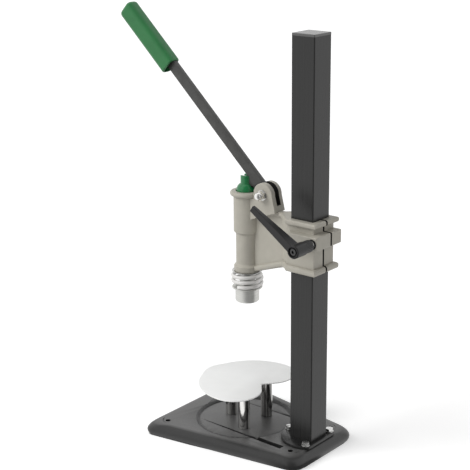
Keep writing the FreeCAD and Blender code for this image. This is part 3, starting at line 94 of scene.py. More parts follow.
def soft_sun(name, away, spread, strength):
    """A lamp far away in one direction, whose light spreads over an angle in degrees."""
    lamp = bpy.data.objects.new(name, bpy.data.lights.new(name, "SUN"))
    lamp.data.angle = math.radians(spread)
    lamp.data.energy = strength
    lamp.location = (cad_low + cad_high) / 2 + Vector(away)
    lamp.rotation_euler = (-Vector(away)).to_track_quat("-Z", "Y").to_euler()
    lamp.visible_glossy = False
    scene.collection.objects.link(lamp)


soft_sun("key_sun", away=(1.6, -1.1, 1.5), spread=40, strength=1.95)
soft_sun("back_sun", away=(0.9, 1.6, 1.2), spread=50, strength=0.12)

SKY_LIGHT = 0.42
FLOOR_HALF = 20.0
FLOOR_GREY = 0.86
FLOOR_GLOW = 0.42
WHITE_SIDE = 1.0
DARK_SIDE = 0.24
DARK_FROM = 0.6
DARK_FULL = 0.92


def link(tree, source, target):
    tree.links.new(source, target)


def room_side(tree, place):
    """How bright shiny surfaces see the room: white all round, but dark on the camera's side."""
    flat = tree.nodes.new("ShaderNodeVectorMath")
    flat.operation = "MULTIPLY"
    flat.inputs[1].default_value = (1, 1, 0)
    link(tree, tree.nodes.new("ShaderNodeTexCoord").outputs[place], flat.inputs[0])
    level = tree.nodes.new("ShaderNodeVectorMath")
    level.operation = "NORMALIZE"
    link(tree, flat.outputs["Vector"], level.inputs[0])
    facing = tree.nodes.new("ShaderNodeVectorMath")
    facing.operation = "DOT_PRODUCT"
    facing.inputs[1].default_value = Vector((EYE.x, EYE.y, 0)).normalized()
    link(tree, level.outputs["Vector"], facing.inputs[0])
    shade = tree.nodes.new("ShaderNodeMapRange")
    shade.inputs["From Min"].default_value = DARK_FROM
    shade.inputs["From Max"].default_value = DARK_FULL
    shade.inputs["To Min"].default_value = WHITE_SIDE
    shade.inputs["To Max"].default_value = DARK_SIDE
    link(tree, facing.outputs["Value"], shade.inputs["Value"])
    return shade.outputs["Result"]


def blend_values(tree, share, first, second):
    """The first value where the share is 0 and the second where it is 1."""
    node = tree.nodes.new("ShaderNodeMapRange")
    for value, socket in ((first, "To Min"), (second, "To Max")):
        if isinstance(value, float):
            node.inputs[socket].default_value = value
        else:
            link(tree, value, node.inputs[socket])
    link(tree, share, node.inputs["Value"])
    return node.outputs["Result"]


world = bpy.data.worlds.new("white_studio")
scene.world = world
world.use_nodes = True
sky = world.node_tree
sky_rays = sky.nodes.new("ShaderNodeLightPath").outputs
sky_seen = blend_values(sky, sky_rays["Is Camera Ray"], SKY_LIGHT, 1.0)
sky_shown = blend_values(sky, sky_rays["Is Glossy Ray"], sky_seen, room_side(sky, "Generated"))
sky.nodes["Background"].inputs["Color"].default_value = (1, 1, 1, 1)
link(sky, sky_shown, sky.nodes["Background"].inputs["Strength"])

floor_mesh = bpy.data.meshes.new("floor")
floor_corners = [(side * FLOOR_HALF, back * FLOOR_HALF, 0)
                 for side, back in ((-1, -1), (1, -1), (1, 1), (-1, 1))]
floor_mesh.from_pydata(floor_corners, [], [(0, 1, 2, 3)])
floor = bpy.data.objects.new("floor", floor_mesh)
scene.collection.objects.link(floor)
floor_paint = bpy.data.materials.new("pale_floor")
floor_paint.use_nodes = True
floor_tree = floor_paint.node_tree
floor_shader = floor_tree.nodes["Principled BSDF"]
floor_shader.inputs["Base Color"].default_value = (FLOOR_GREY, FLOOR_GREY, FLOOR_GREY, 1)
floor_shader.inputs["Roughness"].default_value = 1.0
floor_shader.inputs["Specular IOR Level"].default_value = 0.0
floor_shader.inputs["Emission Color"].default_value = (1, 1, 1, 1)
floor_rays = floor_tree.nodes.new("ShaderNodeLightPath").outputs
link(floor_tree, blend_values(floor_tree, floor_rays["Is Camera Ray"], 0.0, FLOOR_GLOW),
     floor_shader.inputs["Emission Strength"])
floor_mirrored = floor_tree.nodes.new("ShaderNodeEmission")
link(floor_tree, room_side(floor_tree, "Object"), floor_mirrored.inputs["Strength"])
floor_mix = floor_tree.nodes.new("ShaderNodeMixShader")
link(floor_tree, floor_rays["Is Glossy Ray"], floor_mix.inputs["Fac"])
link(floor_tree, floor_shader.outputs["BSDF"], floor_mix.inputs[1])
link(floor_tree, floor_mirrored.outputs["Emission"], floor_mix.inputs[2])
link(floor_tree, floor_mix.outputs["Shader"], floor_tree.nodes["Material Output"].inputs["Surface"])
floor_mesh.materials.append(floor_paint)

# Base. One iron casting, hollow and ribbed below, with a round dish for the posts and two
# tapering grooves. Its rim rolls over from the top and tucks in at the bench. The paint is a
# fine wrinkled black with a dull sheen. Its colour carries painted light: the level faces are
# painted lighter, as lit from above, and the slopes darker, as painted shade.
MM = 0.001
BASE_TOP = 24.0
BASE_REAR = 41.3
BASE_FRONT = -297.5
REAR_HALF = 93.0
FRONT_HALF = 146.4
RIM_TUCK = 2.6
TUCK_HALFWAY = RIM_TUCK / 4
RIM_WIDEST = 8.0
RIM_ROLL = 19.0
ROLL_STEPS = 10
ROLL_LIFT = 0.12
FRONT_ROUND = (17.5, 38.6)
REAR_ROUND = (24.9, 46.7)
CORNER_STEPS = 14
RIM_WALL = 14.0
RIM_SHELF = 20.0
SHELF_LOW = 15.5
DRAWN_IN = 0.05  # how far the casting lies inside its rim, so that the two overlap
FLUSH = 0.02  # how far the rim stands clear of the bench and over the top
OVER = 6.0  # how far a cutting shape reaches past what it cuts
DISH_MIDDLE = -155.0
DISH_STEPS = 128
# Radii and heights round the groove that is cut along the edge of the dish.
DISH_EDGE = ((98.6, 24.4), (94.6, 18.6), (92.6, 18.6), (88.0, 21.2), (88.0, 24.4))
SAME_POINT = 0.001 * MM
JOIN_WITHIN = 0.01 * MM
SHARP_ABOVE = math.radians(32)
BASE_BLACK = (0.092, 0.0915, 0.09)
SLOPE_FROM = 0.93
LEVEL_FROM = 0.995
SLOPE_PAINTED_SHADE = 0.14
WRINKLE = 0.9
NOISE_LOW = 0.3
NOISE_HIGH = 0.7


class Finish:
    """A procedural surface. Its patterns lie on the object's own coordinates, with their sizes
    and heights in millimetres."""

    def __init__(self, name, colour, roughness, **sockets):
        self.material = bpy.data.materials.new(name)
        self.material.use_nodes = True
        self.tree = self.material.node_tree
        self.shader = self.tree.nodes["Principled BSDF"]
        self.colour = colour
        self.set("Base Color", (*colour, 1))
        self.set("Roughness", roughness)
        for socket, value in sockets.items():
            self.set(socket.replace("_", " "), value)
        self.place = self.tree.nodes.new("ShaderNodeTexCoord").outputs["Object"]
        self.normal = None

    def set(self, socket, value):
        self.shader.inputs[socket].default_value = value

    def add(self, kind, **values):
        """A new node, with its settings and the values of its sockets."""
        node = self.tree.nodes.new("ShaderNode" + kind)
        for key, value in values.items():
            if key in node.bl_rna.properties:
                setattr(node, key, value)
            else:
                node.inputs[key.replace("_", " ")].default_value = value
        return node

    def noise(self, size, detail=2.0, stretch=None):
        """Noise of a given grain. A stretch below 1 draws it out along that axis."""
        node = self.add("TexNoise", Scale=1 / (size * MM), Detail=detail)
        place = self.place
        if stretch:
            mapping = self.add("Mapping", Scale=stretch)
            link(self.tree, place, mapping.inputs["Vector"])
            place = mapping.outputs["Vector"]
        link(self.tree, place, node.inputs["Vector"])
        return node.outputs["Fac"]

    def level(self, slope_from, level_from):
        """A share that is 0 on slopes and 1 on level faces, by the upward part of the normal."""
        axes = self.add("SeparateXYZ")
        link(self.tree, self.add("TexCoord").outputs["Normal"], axes.inputs["Vector"])
        share = self.add("MapRange", From_Min=slope_from, From_Max=level_from)
        link(self.tree, axes.outputs["Z"], share.inputs["Value"])
        return share.outputs["Result"]

    def vary_colour(self, pattern, darker, lighter, low=NOISE_LOW, high=NOISE_HIGH):
        """Spread the colour between a darker and a lighter share of itself."""
        ramp = self.add("ValToRGB")
        stops = ramp.color_ramp.elements
        for stop, share, where in zip(stops, (darker, lighter), (low, high)):
            stop.position = where
            stop.color = (*[min(1, part * share) for part in self.colour], 1)
        link(self.tree, pattern, ramp.inputs["Fac"])
        link(self.tree, ramp.outputs["Color"], self.shader.inputs["Base Color"])

    def vary_roughness(self, pattern, least, most):
        spread = self.add("MapRange", From_Min=NOISE_LOW, From_Max=NOISE_HIGH,
                          To_Min=least, To_Max=most)
        link(self.tree, pattern, spread.inputs["Value"])
        link(self.tree, spread.outputs["Result"], self.shader.inputs["Roughness"])

    def bump(self, pattern, height):
        """Raise the pattern by a height, on top of any bump before it."""
        node = self.add("Bump", Distance=height * MM)
        link(self.tree, pattern, node.inputs["Height"])
        if self.normal:
            link(self.tree, self.normal, node.inputs["Normal"])
        self.normal = node.outputs["Normal"]
        link(self.tree, self.normal, self.shader.inputs["Normal"])


def dress(finish, *names):
    """Give CAD nodes whose shape is right their finish."""
    for name in names:
        node = frame["nodes"][name]
        node.data.materials.clear()
        node.data.materials.append(finish.material)


bodies = frame["record"]["behaviour"]["bodies"]
body_of = {node: body for body, nodes in bodies.items() for node in nodes}


def stand_for(piece, node, finish):
    """The piece takes the place and the body of a CAD node, which is hidden, and gets its finish.
    """
    piece.data.materials.clear()
    piece.data.materials.append(finish.material)
    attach(piece, body_of[node])
    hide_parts(node)


def to_piece(shape, name):
    """Turn a bmesh into a piece with merged doubles, outward faces and soft shading."""
    bmesh.ops.remove_doubles(shape, verts=shape.verts, dist=SAME_POINT)
    bmesh.ops.recalc_face_normals(shape, faces=shape.faces)
    mesh = bpy.data.meshes.new(name)
    shape.to_mesh(mesh)
    shape.free()
    mesh.shade_smooth()
    mesh.set_sharp_from_angle(angle=SHARP_ABOVE)
    piece = bpy.data.objects.new(name, mesh)
    scene.collection.objects.link(piece)
    return piece


def lift_rings(rings, name, closed_ends=True):
    """Skin a stack of rings that have equal numbers of points. Its two ends are closed, or else
    the last ring runs on into the first."""
    shape = bmesh.new()
    rows = [[shape.verts.new(point) for point in ring] for ring in rings]
    if not closed_ends:
        rows.append(rows[0])
    for low, high in zip(rows, rows[1:]):
        for place in range(len(low)):
            after = (place + 1) % len(low)
            shape.faces.new((low[place], low[after], high[after], high[place]))
    if closed_ends:
        shape.faces.new(rows[0])
        shape.faces.new(rows[-1])
    return to_piece(shape, name)


def apply_modifiers(piece):
    """Keep what a piece's modifiers make of it as its plain mesh."""
    made = piece.evaluated_get(bpy.context.evaluated_depsgraph_get())
    mesh = bpy.data.meshes.new_from_object(made)
    piece.modifiers.clear()
    piece.data = mesh


def combine(piece, tool, how):
    """Join, subtract or intersect a piece with a tool, and remove the tool."""
    modifier = piece.modifiers.new(how, "BOOLEAN")
    modifier.operation = how
    modifier.object = tool
    apply_modifiers(piece)
    bpy.data.objects.remove(tool)


def even_shading(piece):
    """Flat faces stay flat to the eye beside the rounds that run into them."""
    piece.data.shade_smooth()
    piece.data.set_sharp_from_angle(angle=SHARP_ABOVE)
    piece.modifiers.new("even_shading", "WEIGHTED_NORMAL").keep_sharp = True
    apply_modifiers(piece)


def joined_up(node):
    """A CAD node's mesh as a bmesh whose loose triangles are joined."""
    shape = bmesh.new()
    shape.from_mesh(frame["nodes"][node].data)
    bmesh.ops.remove_doubles(shape, verts=shape.verts, dist=JOIN_WITHIN)
    return shape


def base_ring(inset, height, roll=0.0):
    """The base's outline, set in from its widest, at a height. A roll from 0 to 1 rounds its
    corners more."""
    front_round = FRONT_ROUND[0] + (FRONT_ROUND[1] - FRONT_ROUND[0]) * roll
    rear_round = REAR_ROUND[0] + (REAR_ROUND[1] - REAR_ROUND[0]) * roll
    widen = (FRONT_HALF - REAR_HALF) / (BASE_REAR - BASE_FRONT)
    rear, front = BASE_REAR - inset, BASE_FRONT + inset
    square_on = inset * math.hypot(1, widen)
    rear_half = REAR_HALF + widen * inset - square_on
    front_half = FRONT_HALF - widen * inset - square_on
    corners = [(Vector((rear_half, rear)), rear_round), (Vector((-rear_half, rear)), rear_round),
               (Vector((-front_half, front)), front_round),
               (Vector((front_half, front)), front_round)]
    ring = []
    for place, (corner, radius) in enumerate(corners):
        before = (corners[place - 1][0] - corner).normalized()
        after = (corners[(place + 1) % len(corners)][0] - corner).normalized()
        half_turn = before.angle(after) / 2
        centre = corner + (before + after).normalized() * radius / math.sin(half_turn)
        first = corner + before * radius / math.tan(half_turn) - centre
        turn = math.pi - 2 * half_turn
        for step in range(CORNER_STEPS + 1):
            spoke = Matrix.Rotation(turn * step / CORNER_STEPS, 2) @ first
            ring.append(Vector((*((centre + spoke) * MM), height * MM)))
    return ring


def rolled_rim(shrink, foot):
    """Rings from a foot up over the rim, ending above the top, all drawn in by a little."""
    rings = [base_ring(RIM_TUCK + shrink, foot), base_ring(TUCK_HALFWAY + shrink, RIM_WIDEST / 2)]
    for step in range(ROLL_STEPS + 1):
        turn = math.pi / 2 * step / ROLL_STEPS
        roll = 1 - math.cos(turn)
        rise = (BASE_TOP + ROLL_LIFT - RIM_WIDEST) * math.sin(turn)
        rings.append(base_ring(RIM_ROLL * roll + shrink, RIM_WIDEST + rise, roll))
    return rings + [base_ring(RIM_ROLL + shrink, BASE_TOP + OVER, 1)]


def dish_ring(radius, height):
    turns = [math.tau * step / DISH_STEPS for step in range(DISH_STEPS)]
    return [Vector((radius * math.cos(turn), radius * math.sin(turn) + DISH_MIDDLE, height)) * MM
            for turn in turns]


casting = to_piece(joined_up("base_plate"), "base_casting")
combine(casting, lift_rings(rolled_rim(DRAWN_IN, -OVER), "roll"), "INTERSECT")
dish_edge = [dish_ring(radius, height) for radius, height in DISH_EDGE]
combine(casting, lift_rings(dish_edge, "dish_edge", closed_ends=False), "DIFFERENCE")
rim = lift_rings(rolled_rim(0, FLUSH), "rim")
inside = [base_ring(RIM_WALL, -OVER), base_ring(RIM_WALL, SHELF_LOW),
          base_ring(RIM_SHELF, SHELF_LOW), base_ring(RIM_SHELF, BASE_TOP + 2 * OVER)]
combine(rim, lift_rings(inside, "inside"), "DIFFERENCE")
above = [base_ring(-OVER, BASE_TOP - FLUSH), base_ring(-OVER, BASE_TOP + 2 * OVER)]
combine(rim, lift_rings(above, "above"), "DIFFERENCE")
combine(casting, rim, "UNION")
even_shading(casting)

wrinkle_paint = Finish("wrinkled_black_paint", BASE_BLACK, roughness=0.4, Specular_IOR_Level=0.7)
# Painted light: level faces keep the full colour, as lit from above, and slopes drop to a painted
# shade of it.
wrinkle_paint.vary_colour(wrinkle_paint.level(SLOPE_FROM, LEVEL_FROM),
                          darker=SLOPE_PAINTED_SHADE, lighter=1.0, low=0, high=1)
wrinkle_paint.vary_roughness(wrinkle_paint.noise(WRINKLE * 3), least=0.36, most=0.46)
wrinkle_paint.bump(wrinkle_paint.noise(WRINKLE, detail=3.0), height=0.03)
stand_for(casting, "base_plate", wrinkle_paint)

# Column. A steel disc with a square tube welded on it, both powder coated black and slightly
# glossy. The tube is drawn, with faint lines along its faces, and a plastic cap closes its top.
COAT_BLACK = (0.014, 0.014, 0.0138)
DISC_EDGE = 0.7 * MM
TUBE_WALL = 2.5 * MM
TUBE_ROUND = 2.3 * MM
TUBE_INNER_ROUND = 1.0 * MM
TUBE_STEPS = 8
FLAT_WITHIN = math.radians(0.5)
ROUND_ABOVE = math.radians(35)
CAP_BLACK = (0.06, 0.06, 0.059)


def rounded_outline(half_wide, half_high, radius, steps):
    """Points round a rectangle with rounded corners."""
    points = []
    for place, (side, up) in enumerate(((1, 1), (-1, 1), (-1, -1), (1, -1))):
        for step in range(steps + 1):
            turn = math.pi / 2 * (place + step / steps)
            points.append((side * (half_wide - radius) + radius * math.cos(turn),
                           up * (half_high - radius) + radius * math.sin(turn)))
    return points


def tube_ring(half, radius, height):
    return [Vector((x, y, height)) for x, y in rounded_outline(half, half, radius, TUBE_STEPS)]


def rounded_copy(node, name, width):
    """A copy of a CAD node's mesh whose sharp edges are rounded."""
    shape = joined_up(node)
    bmesh.ops.dissolve_limit(shape, angle_limit=FLAT_WITHIN, verts=shape.verts, edges=shape.edges)
    sharp = [edge for edge in shape.edges
             if len(edge.link_faces) == 2 and edge.calc_face_angle(0) > ROUND_ABOVE]
    bmesh.ops.bevel(shape, geom=sharp, offset=width, segments=2, profile=0.5, affect="EDGES",
                    clamp_overlap=True)
    return to_piece(shape, name)


powder_coat = Finish("black_powder_coat", COAT_BLACK, roughness=0.3)
drawn_lines = powder_coat.noise(2.5, stretch=(1, 1, 0.01))
powder_coat.vary_colour(drawn_lines, darker=0.8, lighter=1.3)
powder_coat.vary_roughness(drawn_lines, least=0.26, most=0.34)
powder_coat.bump(powder_coat.noise(1.2), height=0.03)

tube_low, tube_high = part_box("column_tube")
tube_side = tube_high.x
bore_side = tube_side - TUBE_WALL
column = lift_rings([tube_ring(tube_side, TUBE_ROUND, tube_low.z),
                     tube_ring(tube_side, TUBE_ROUND, tube_high.z),
                     tube_ring(bore_side, TUBE_INNER_ROUND, tube_high.z),
                     tube_ring(bore_side, TUBE_INNER_ROUND, tube_low.z)],
                    "column", closed_ends=False)
even_shading(column)
stand_for(column, "column_tube", powder_coat)
column_disc = rounded_copy("column_flange", "column_disc", DISC_EDGE)
stand_for(column_disc, "column_flange", powder_coat)

cap_plastic = Finish("black_cap_plastic", CAP_BLACK, roughness=0.25, Specular_IOR_Level=1.0)
cap_plastic.bump(cap_plastic.noise(0.8), height=0.03)
dress(cap_plastic, "column_cap")

# Flange bolts. Three zinc-plated hexagon bolts with flat washers hold the disc on the base,
# with their nuts in the hollow under it. Every edge of a hexagon is turned off at 30 degrees.
BOLT_RING = 44.6 * MM
BOLT_TURN = math.radians(30)
BOLT_COUNT = 3
M8_ACROSS = 13.0 * MM
M8_SHANK = 4.0 * MM
M8_WASHER = 8.0 * MM
M8_WASHER_BORE = 4.2 * MM
THREAD_GAP = 0.05 * MM
BROKEN_EDGE = 0.25 * MM
THREAD_EDGE = 0.5 * MM
HEX_SLOPE = math.tan(math.radians(30))
HEX_SIDES = 6
SIDE_STEPS = 8
FACE_SHARE = 0.95
ZINC = (0.7, 0.7, 0.69)


def circle(radius, height):
    steps = HEX_SIDES * SIDE_STEPS
    turns = [math.tau * step / steps for step in range(steps)]
    return [Vector((radius * math.cos(turn), radius * math.sin(turn), height)) for turn in turns]


def hexagon(across, height, face_radius, lean):
    """A hexagon's outline at a height. Outside the face radius it drops off, or with a lean of
    -1 it rises, as turning the face to that radius leaves its corners."""
    side = math.tau / HEX_SIDES
    outline = []
    for point in circle(1, 0):
        turn = math.atan2(point.y, point.x) % side - side / 2
        radius = across / 2 / math.cos(turn)
        drop = max(0, radius - face_radius) * HEX_SLOPE * lean
        outline.append(Vector((point.x * radius, point.y * radius, height - drop)))
    return outline


def hex_head(name, across, low, high, shank, shank_low):
    """A hexagon head above a plain shank, upright on the Z axis."""
    face = across / 2 * FACE_SHARE
    return lift_rings([
        circle(shank - BROKEN_EDGE, shank_low), circle(shank, shank_low + BROKEN_EDGE),
        circle(shank, low), circle(face, low), hexagon(across, low, face, -1),
        hexagon(across, high, face, 1), circle(face, high)], name)


def hex_nut(name, across, low, high, bore):
    face = across / 2 * FACE_SHARE
    return lift_rings([
        circle(bore, low + THREAD_EDGE), circle(bore + THREAD_EDGE, low), circle(face, low),
        hexagon(across, low, face, -1), hexagon(across, high, face, 1), circle(face, high),
        circle(bore + THREAD_EDGE, high), circle(bore, high - THREAD_EDGE)],
        name, closed_ends=False)


def flat_washer(name, radius, low, high, bore):
    return lift_rings([
        circle(bore, low), circle(radius - BROKEN_EDGE, low), circle(radius, low + BROKEN_EDGE),
        circle(radius, high - BROKEN_EDGE), circle(radius - BROKEN_EDGE, high),
        circle(bore, high)], name, closed_ends=False)


def ring_tree():
    """Geometry Nodes that set copies of one piece on a ring round the upright axis."""
    tree = bpy.data.node_groups.new("ring_of_fasteners", "GeometryNodeTree")
    sockets = (("Piece", "Object"), ("Count", "Int"), ("Ring Radius", "Float"),
               ("First Turn", "Float"), ("Finish", "Material"))
    for socket, kind in sockets:
        tree.interface.new_socket(socket, in_out="INPUT", socket_type="NodeSocket" + kind)
    tree.interface.new_socket("Geometry", in_out="OUTPUT", socket_type="NodeSocketGeometry")
    given = tree.nodes.new("NodeGroupInput").outputs
    ring = tree.nodes.new("GeometryNodeMeshCircle")
    link(tree, given["Count"], ring.inputs["Vertices"])
    link(tree, given["Ring Radius"], ring.inputs["Radius"])
    source = tree.nodes.new("GeometryNodeObjectInfo")
    link(tree, given["Piece"], source.inputs["Object"])
    copies = tree.nodes.new("GeometryNodeInstanceOnPoints")
    link(tree, ring.outputs["Mesh"], copies.inputs["Points"])
    link(tree, source.outputs["Geometry"], copies.inputs["Instance"])
    turn = tree.nodes.new("ShaderNodeCombineXYZ")
    link(tree, given["First Turn"], turn.inputs["Z"])
    place = tree.nodes.new("GeometryNodeTransform")
    link(tree, copies.outputs["Instances"], place.inputs["Geometry"])
    link(tree, turn.outputs["Vector"], place.inputs["Rotation"])
    real = tree.nodes.new("GeometryNodeRealizeInstances")
    link(tree, place.outputs["Geometry"], real.inputs["Geometry"])
    coat = tree.nodes.new("GeometryNodeSetMaterial")
    link(tree, real.outputs["Geometry"], coat.inputs["Geometry"])
    link(tree, given["Finish"], coat.inputs["Material"])
    out = tree.nodes.new("NodeGroupOutput")
    link(tree, coat.outputs["Geometry"], out.inputs["Geometry"])
    return tree


def apply_tree(tree, name, **inputs):
    """Run a Geometry Nodes tree with its named inputs, and keep its result as a plain mesh."""
    carrier = bpy.data.objects.new(name, bpy.data.meshes.new(name))
    scene.collection.objects.link(carrier)
    modifier = carrier.modifiers.new(name, "NODES")
    modifier.node_group = tree
    for item in tree.interface.items_tree:
        if item.in_out == "INPUT":
            modifier[item.identifier] = inputs[item.name.replace(" ", "_").lower()]
    apply_modifiers(carrier)
    carrier.data.name = name
    return carrier


fastener_ring = ring_tree()


def ring_of(piece, node, finish):
    """Set a fastener on its ring, in place of the CAD node that holds the group."""
    group = apply_tree(fastener_ring, node + "_set", piece=piece, count=BOLT_COUNT,
                       ring_radius=BOLT_RING, first_turn=BOLT_TURN, finish=finish.material)
    bpy.data.objects.remove(piece)
    stand_for(group, node, finish)


zinc_plate = Finish("bright_zinc_plate", ZINC, roughness=0.25, Metallic=1.0)
zinc_plate.vary_colour(zinc_plate.noise(3.0), darker=0.82, lighter=1.06)
zinc_plate.vary_roughness(zinc_plate.noise(1.2), least=0.18, most=0.36)
bolt_low, bolt_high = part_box("flange_bolts")
washer_low, washer_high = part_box("flange_washers")
nut_low, nut_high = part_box("flange_nuts")
bolt = hex_head("bolt", M8_ACROSS, washer_high.z, bolt_high.z, M8_SHANK, bolt_low.z)
ring_of(bolt, "flange_bolts", zinc_plate)
washer = flat_washer("washer", M8_WASHER, washer_low.z, washer_high.z, M8_WASHER_BORE)
ring_of(washer, "flange_washers", zinc_plate)
nut = hex_nut("nut", M8_ACROSS, nut_low.z, nut_high.z, M8_SHANK + THREAD_GAP)
ring_of(nut, "flange_nuts", zinc_plate)

# Bottle plate. Sheet steel cut with two lobes and a notch, its edge broken and the whole coated
# white. Studs welded under it stand in three chromed posts, which screws hold from below.
PLATE_WHITE = (0.94, 0.945, 0.935)
PLATE_EDGE = 0.5 * MM
CHROME = (0.78, 0.77, 0.75)

white_coat = Finish("white_powder_coat", PLATE_WHITE, roughness=0.38)
white_coat.vary_colour(white_coat.noise(45.0), darker=0.975, lighter=1.02)
white_coat.bump(white_coat.noise(1.5), height=0.015)
stand_for(rounded_copy("bottle_plate", "bottle_rest", PLATE_EDGE), "bottle_plate", white_coat)

chrome_plate = Finish("chrome_plate", CHROME, roughness=0.08, Metallic=1.0)
# Dark and bright streaks along the posts are painted reflections, not part of the chrome's colour.
chrome_plate.vary_colour(chrome_plate.noise(7.0, stretch=(1, 1, 0.02)),
                         darker=0.3, lighter=1.15, low=0.42, high=0.56)
chrome_plate.vary_roughness(chrome_plate.noise(2.0, stretch=(1, 1, 0.1)), least=0.05, most=0.16)
dress(chrome_plate, "post_right", "post_left", "post_front")
dress(zinc_plate, "plate_studs", "post_screws")

# Head. One grey-beige painted casting: the split clamp, the webbed arm, the barrel and the two
# ears. The paint is thick and satin. Inside the saw cut behind the column and the milled slot
# between the ears the colour is painted near black, as painted shade in the deep slits. Bushes of
# sintered bronze guide the rod and carry the lever.
HEAD_BEIGE = (0.43, 0.41, 0.355)
CLAMP_CUT = ((-2.3, 25.0, 0.0), (2.3, 100.0, 900.0))
EAR_SLOT = ((-5.9, -122.0, 473.3), (5.9, -60.0, 900.0))
PAINTED_SLIT_SHADE = (0.02, 0.019, 0.018)
# Places of a Mix node's colour sockets, whose names its other sockets have too.
MIX_FIRST = 6
MIX_SECOND = 7
MIX_RESULT = 2
BRONZE = (0.5, 0.34, 0.17)


def paint_shade_in_box(finish, low, high):
    """Inside a box from low to high the colour is painted near black, as painted shade in a deep
    cut.
    """
    axes = finish.add("SeparateXYZ")
    link(finish.tree, finish.place, axes.inputs["Vector"])
    inside = None
    for axis, least, most in zip("XYZ", low, high):
        near = finish.add("Math", operation="COMPARE")
        near.inputs[1].default_value = (least + most) / 2 * MM
        near.inputs[2].default_value = (most - least) / 2 * MM
        link(finish.tree, axes.outputs[axis], near.inputs[0])
        if inside:
            both = finish.add("Math", operation="MULTIPLY")
            link(finish.tree, inside, both.inputs[0])
            link(finish.tree, near.outputs[0], both.inputs[1])
            near = both
        inside = near.outputs[0]
    mix = finish.add("Mix", data_type="RGBA")
    painted = finish.shader.inputs["Base Color"].links[0].from_socket
    link(finish.tree, inside, mix.inputs["Factor"])
    link(finish.tree, painted, mix.inputs[MIX_FIRST])
    mix.inputs[MIX_SECOND].default_value = (*PAINTED_SLIT_SHADE, 1)
    link(finish.tree, mix.outputs[MIX_RESULT], finish.shader.inputs["Base Color"])


head_paint = Finish("grey_beige_paint", HEAD_BEIGE, roughness=0.46)
head_paint.vary_colour(head_paint.noise(22.0), darker=0.965, lighter=1.03)
head_paint.vary_roughness(head_paint.noise(6.0), least=0.4, most=0.54)
head_paint.bump(head_paint.noise(1.6), height=0.05)
# Painted shade: the deep saw cut and the ear slot are coloured near black.
paint_shade_in_box(head_paint, *CLAMP_CUT)
paint_shade_in_box(head_paint, *EAR_SLOT)
dress(head_paint, "head_casting")

bronze = Finish("sintered_bronze", BRONZE, roughness=0.4, Metallic=1.0)
bronze.vary_colour(bronze.noise(0.6, detail=4.0), darker=0.8, lighter=1.1)
bronze.bump(bronze.noise(0.5), height=0.02)
dress(bronze, "guide_bush", "pivot_bush")

# Pivot. A zinc-plated M10 bolt through both ears, a washer on each side, and a polished dome nut
# on the clamp lever's side.
M10_ACROSS = 16.0 * MM
M10_SHANK = 5.0 * MM
DOME_HEX = 8.0 * MM
DOME_STEPS = 9
NICKEL = (0.9, 0.89, 0.87)
ALONG_X = Matrix.Rotation(math.pi / 2, 4, "Y")


def lay_along_x(piece, y, z):
    """Turn a piece from its upright Z axis to lie along X at a place, inside its mesh."""
    piece.data.transform(Matrix.Translation((0, y, z)) @ ALONG_X)
    return piece


bolt_low, bolt_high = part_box("pivot_bolt")
nut_low, nut_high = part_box("pivot_nut")
pivot_y = (bolt_low.y + bolt_high.y) / 2
pivot_z = (bolt_low.z + bolt_high.z) / 2
seat_x = nut_low.x
dome_radius = M10_ACROSS / 2
dome_foot = nut_high.x - dome_radius
dome = [circle(dome_radius * math.cos(turn), dome_foot + dome_radius * math.sin(turn))
        for turn in [math.pi / 2 * step / DOME_STEPS for step in range(DOME_STEPS)]]
face = dome_radius * FACE_SHARE
dome_nut = lift_rings([circle(face, seat_x), hexagon(M10_ACROSS, seat_x, face, -1),
                       hexagon(M10_ACROSS, seat_x + DOME_HEX, dome_radius, 1),
                       circle(dome_radius, seat_x + DOME_HEX), *dome], "dome_nut")
nickel_plate = Finish("bright_nickel_plate", NICKEL, roughness=0.25, Metallic=1.0)
nickel_plate.vary_roughness(nickel_plate.noise(1.2), least=0.18, most=0.32)
stand_for(lay_along_x(dome_nut, pivot_y, pivot_z), "pivot_nut", nickel_plate)
pivot_screw = hex_head("pivot_screw", M10_ACROSS, seat_x, -bolt_low.x, M10_SHANK, -bolt_high.x)
pivot_screw.data.transform(Matrix.Rotation(math.pi, 4, "Y"))
stand_for(lay_along_x(pivot_screw, pivot_y, pivot_z), "pivot_bolt", zinc_plate)
dress(zinc_plate, "pivot_washers")

# Lever. A bar of flat steel, coated black like the column, whose rounded heel presses the
# plunger's cap. A green plastic grip, hollow at its mouth, is pushed over its end.
BAR_EDGE = 0.9 * MM
BAR_BLACK = (0.05, 0.05, 0.048)
LEVER_PIVOT = (0, -97.5 * MM, 492.0 * MM)
LEVER_TILT = math.radians(43.5)
LEVER_PLACE = Matrix.Translation(LEVER_PIVOT) @ Matrix.Rotation(-LEVER_TILT, 4, "X")
GRIP_GREEN = (0.024, 0.165, 0.05)
GRIP_FROM = 318.0
GRIP_TO = 471.3
GRIP_HALF = (14.3, 19.2)
GRIP_DROP = 5.9
GRIP_ROUND = 10.5
GRIP_END_ROUND = 8.0
GRIP_LIP_ROUND = 2.5
GRIP_WALL = 3.0
GRIP_RECESS = 12.0
GRIP_STEPS = 8
RECESS_END_ROUND = 1.0
LEAST_ROUND = 0.4
SOCKET_HALF = (5.2, 10.2)
SOCKET_TO = 452.2

bar_coat = Finish("black_bar_coat", BAR_BLACK, roughness=0.42)
bar_coat.vary_colour(bar_coat.noise(14.0), darker=0.85, lighter=1.2)
bar_coat.bump(bar_coat.noise(1.0), height=0.03)
stand_for(rounded_copy("lever_bar", "lever_steel", BAR_EDGE), "lever_bar", bar_coat)


def grip_ring(along, half, radius, drop=0.0):
    """A rounded rectangle across the lever, at a distance from the pivot."""
    return [LEVER_PLACE @ (Vector((x, -along, y - drop)) * MM)
            for x, y in rounded_outline(*half, radius, GRIP_STEPS)]


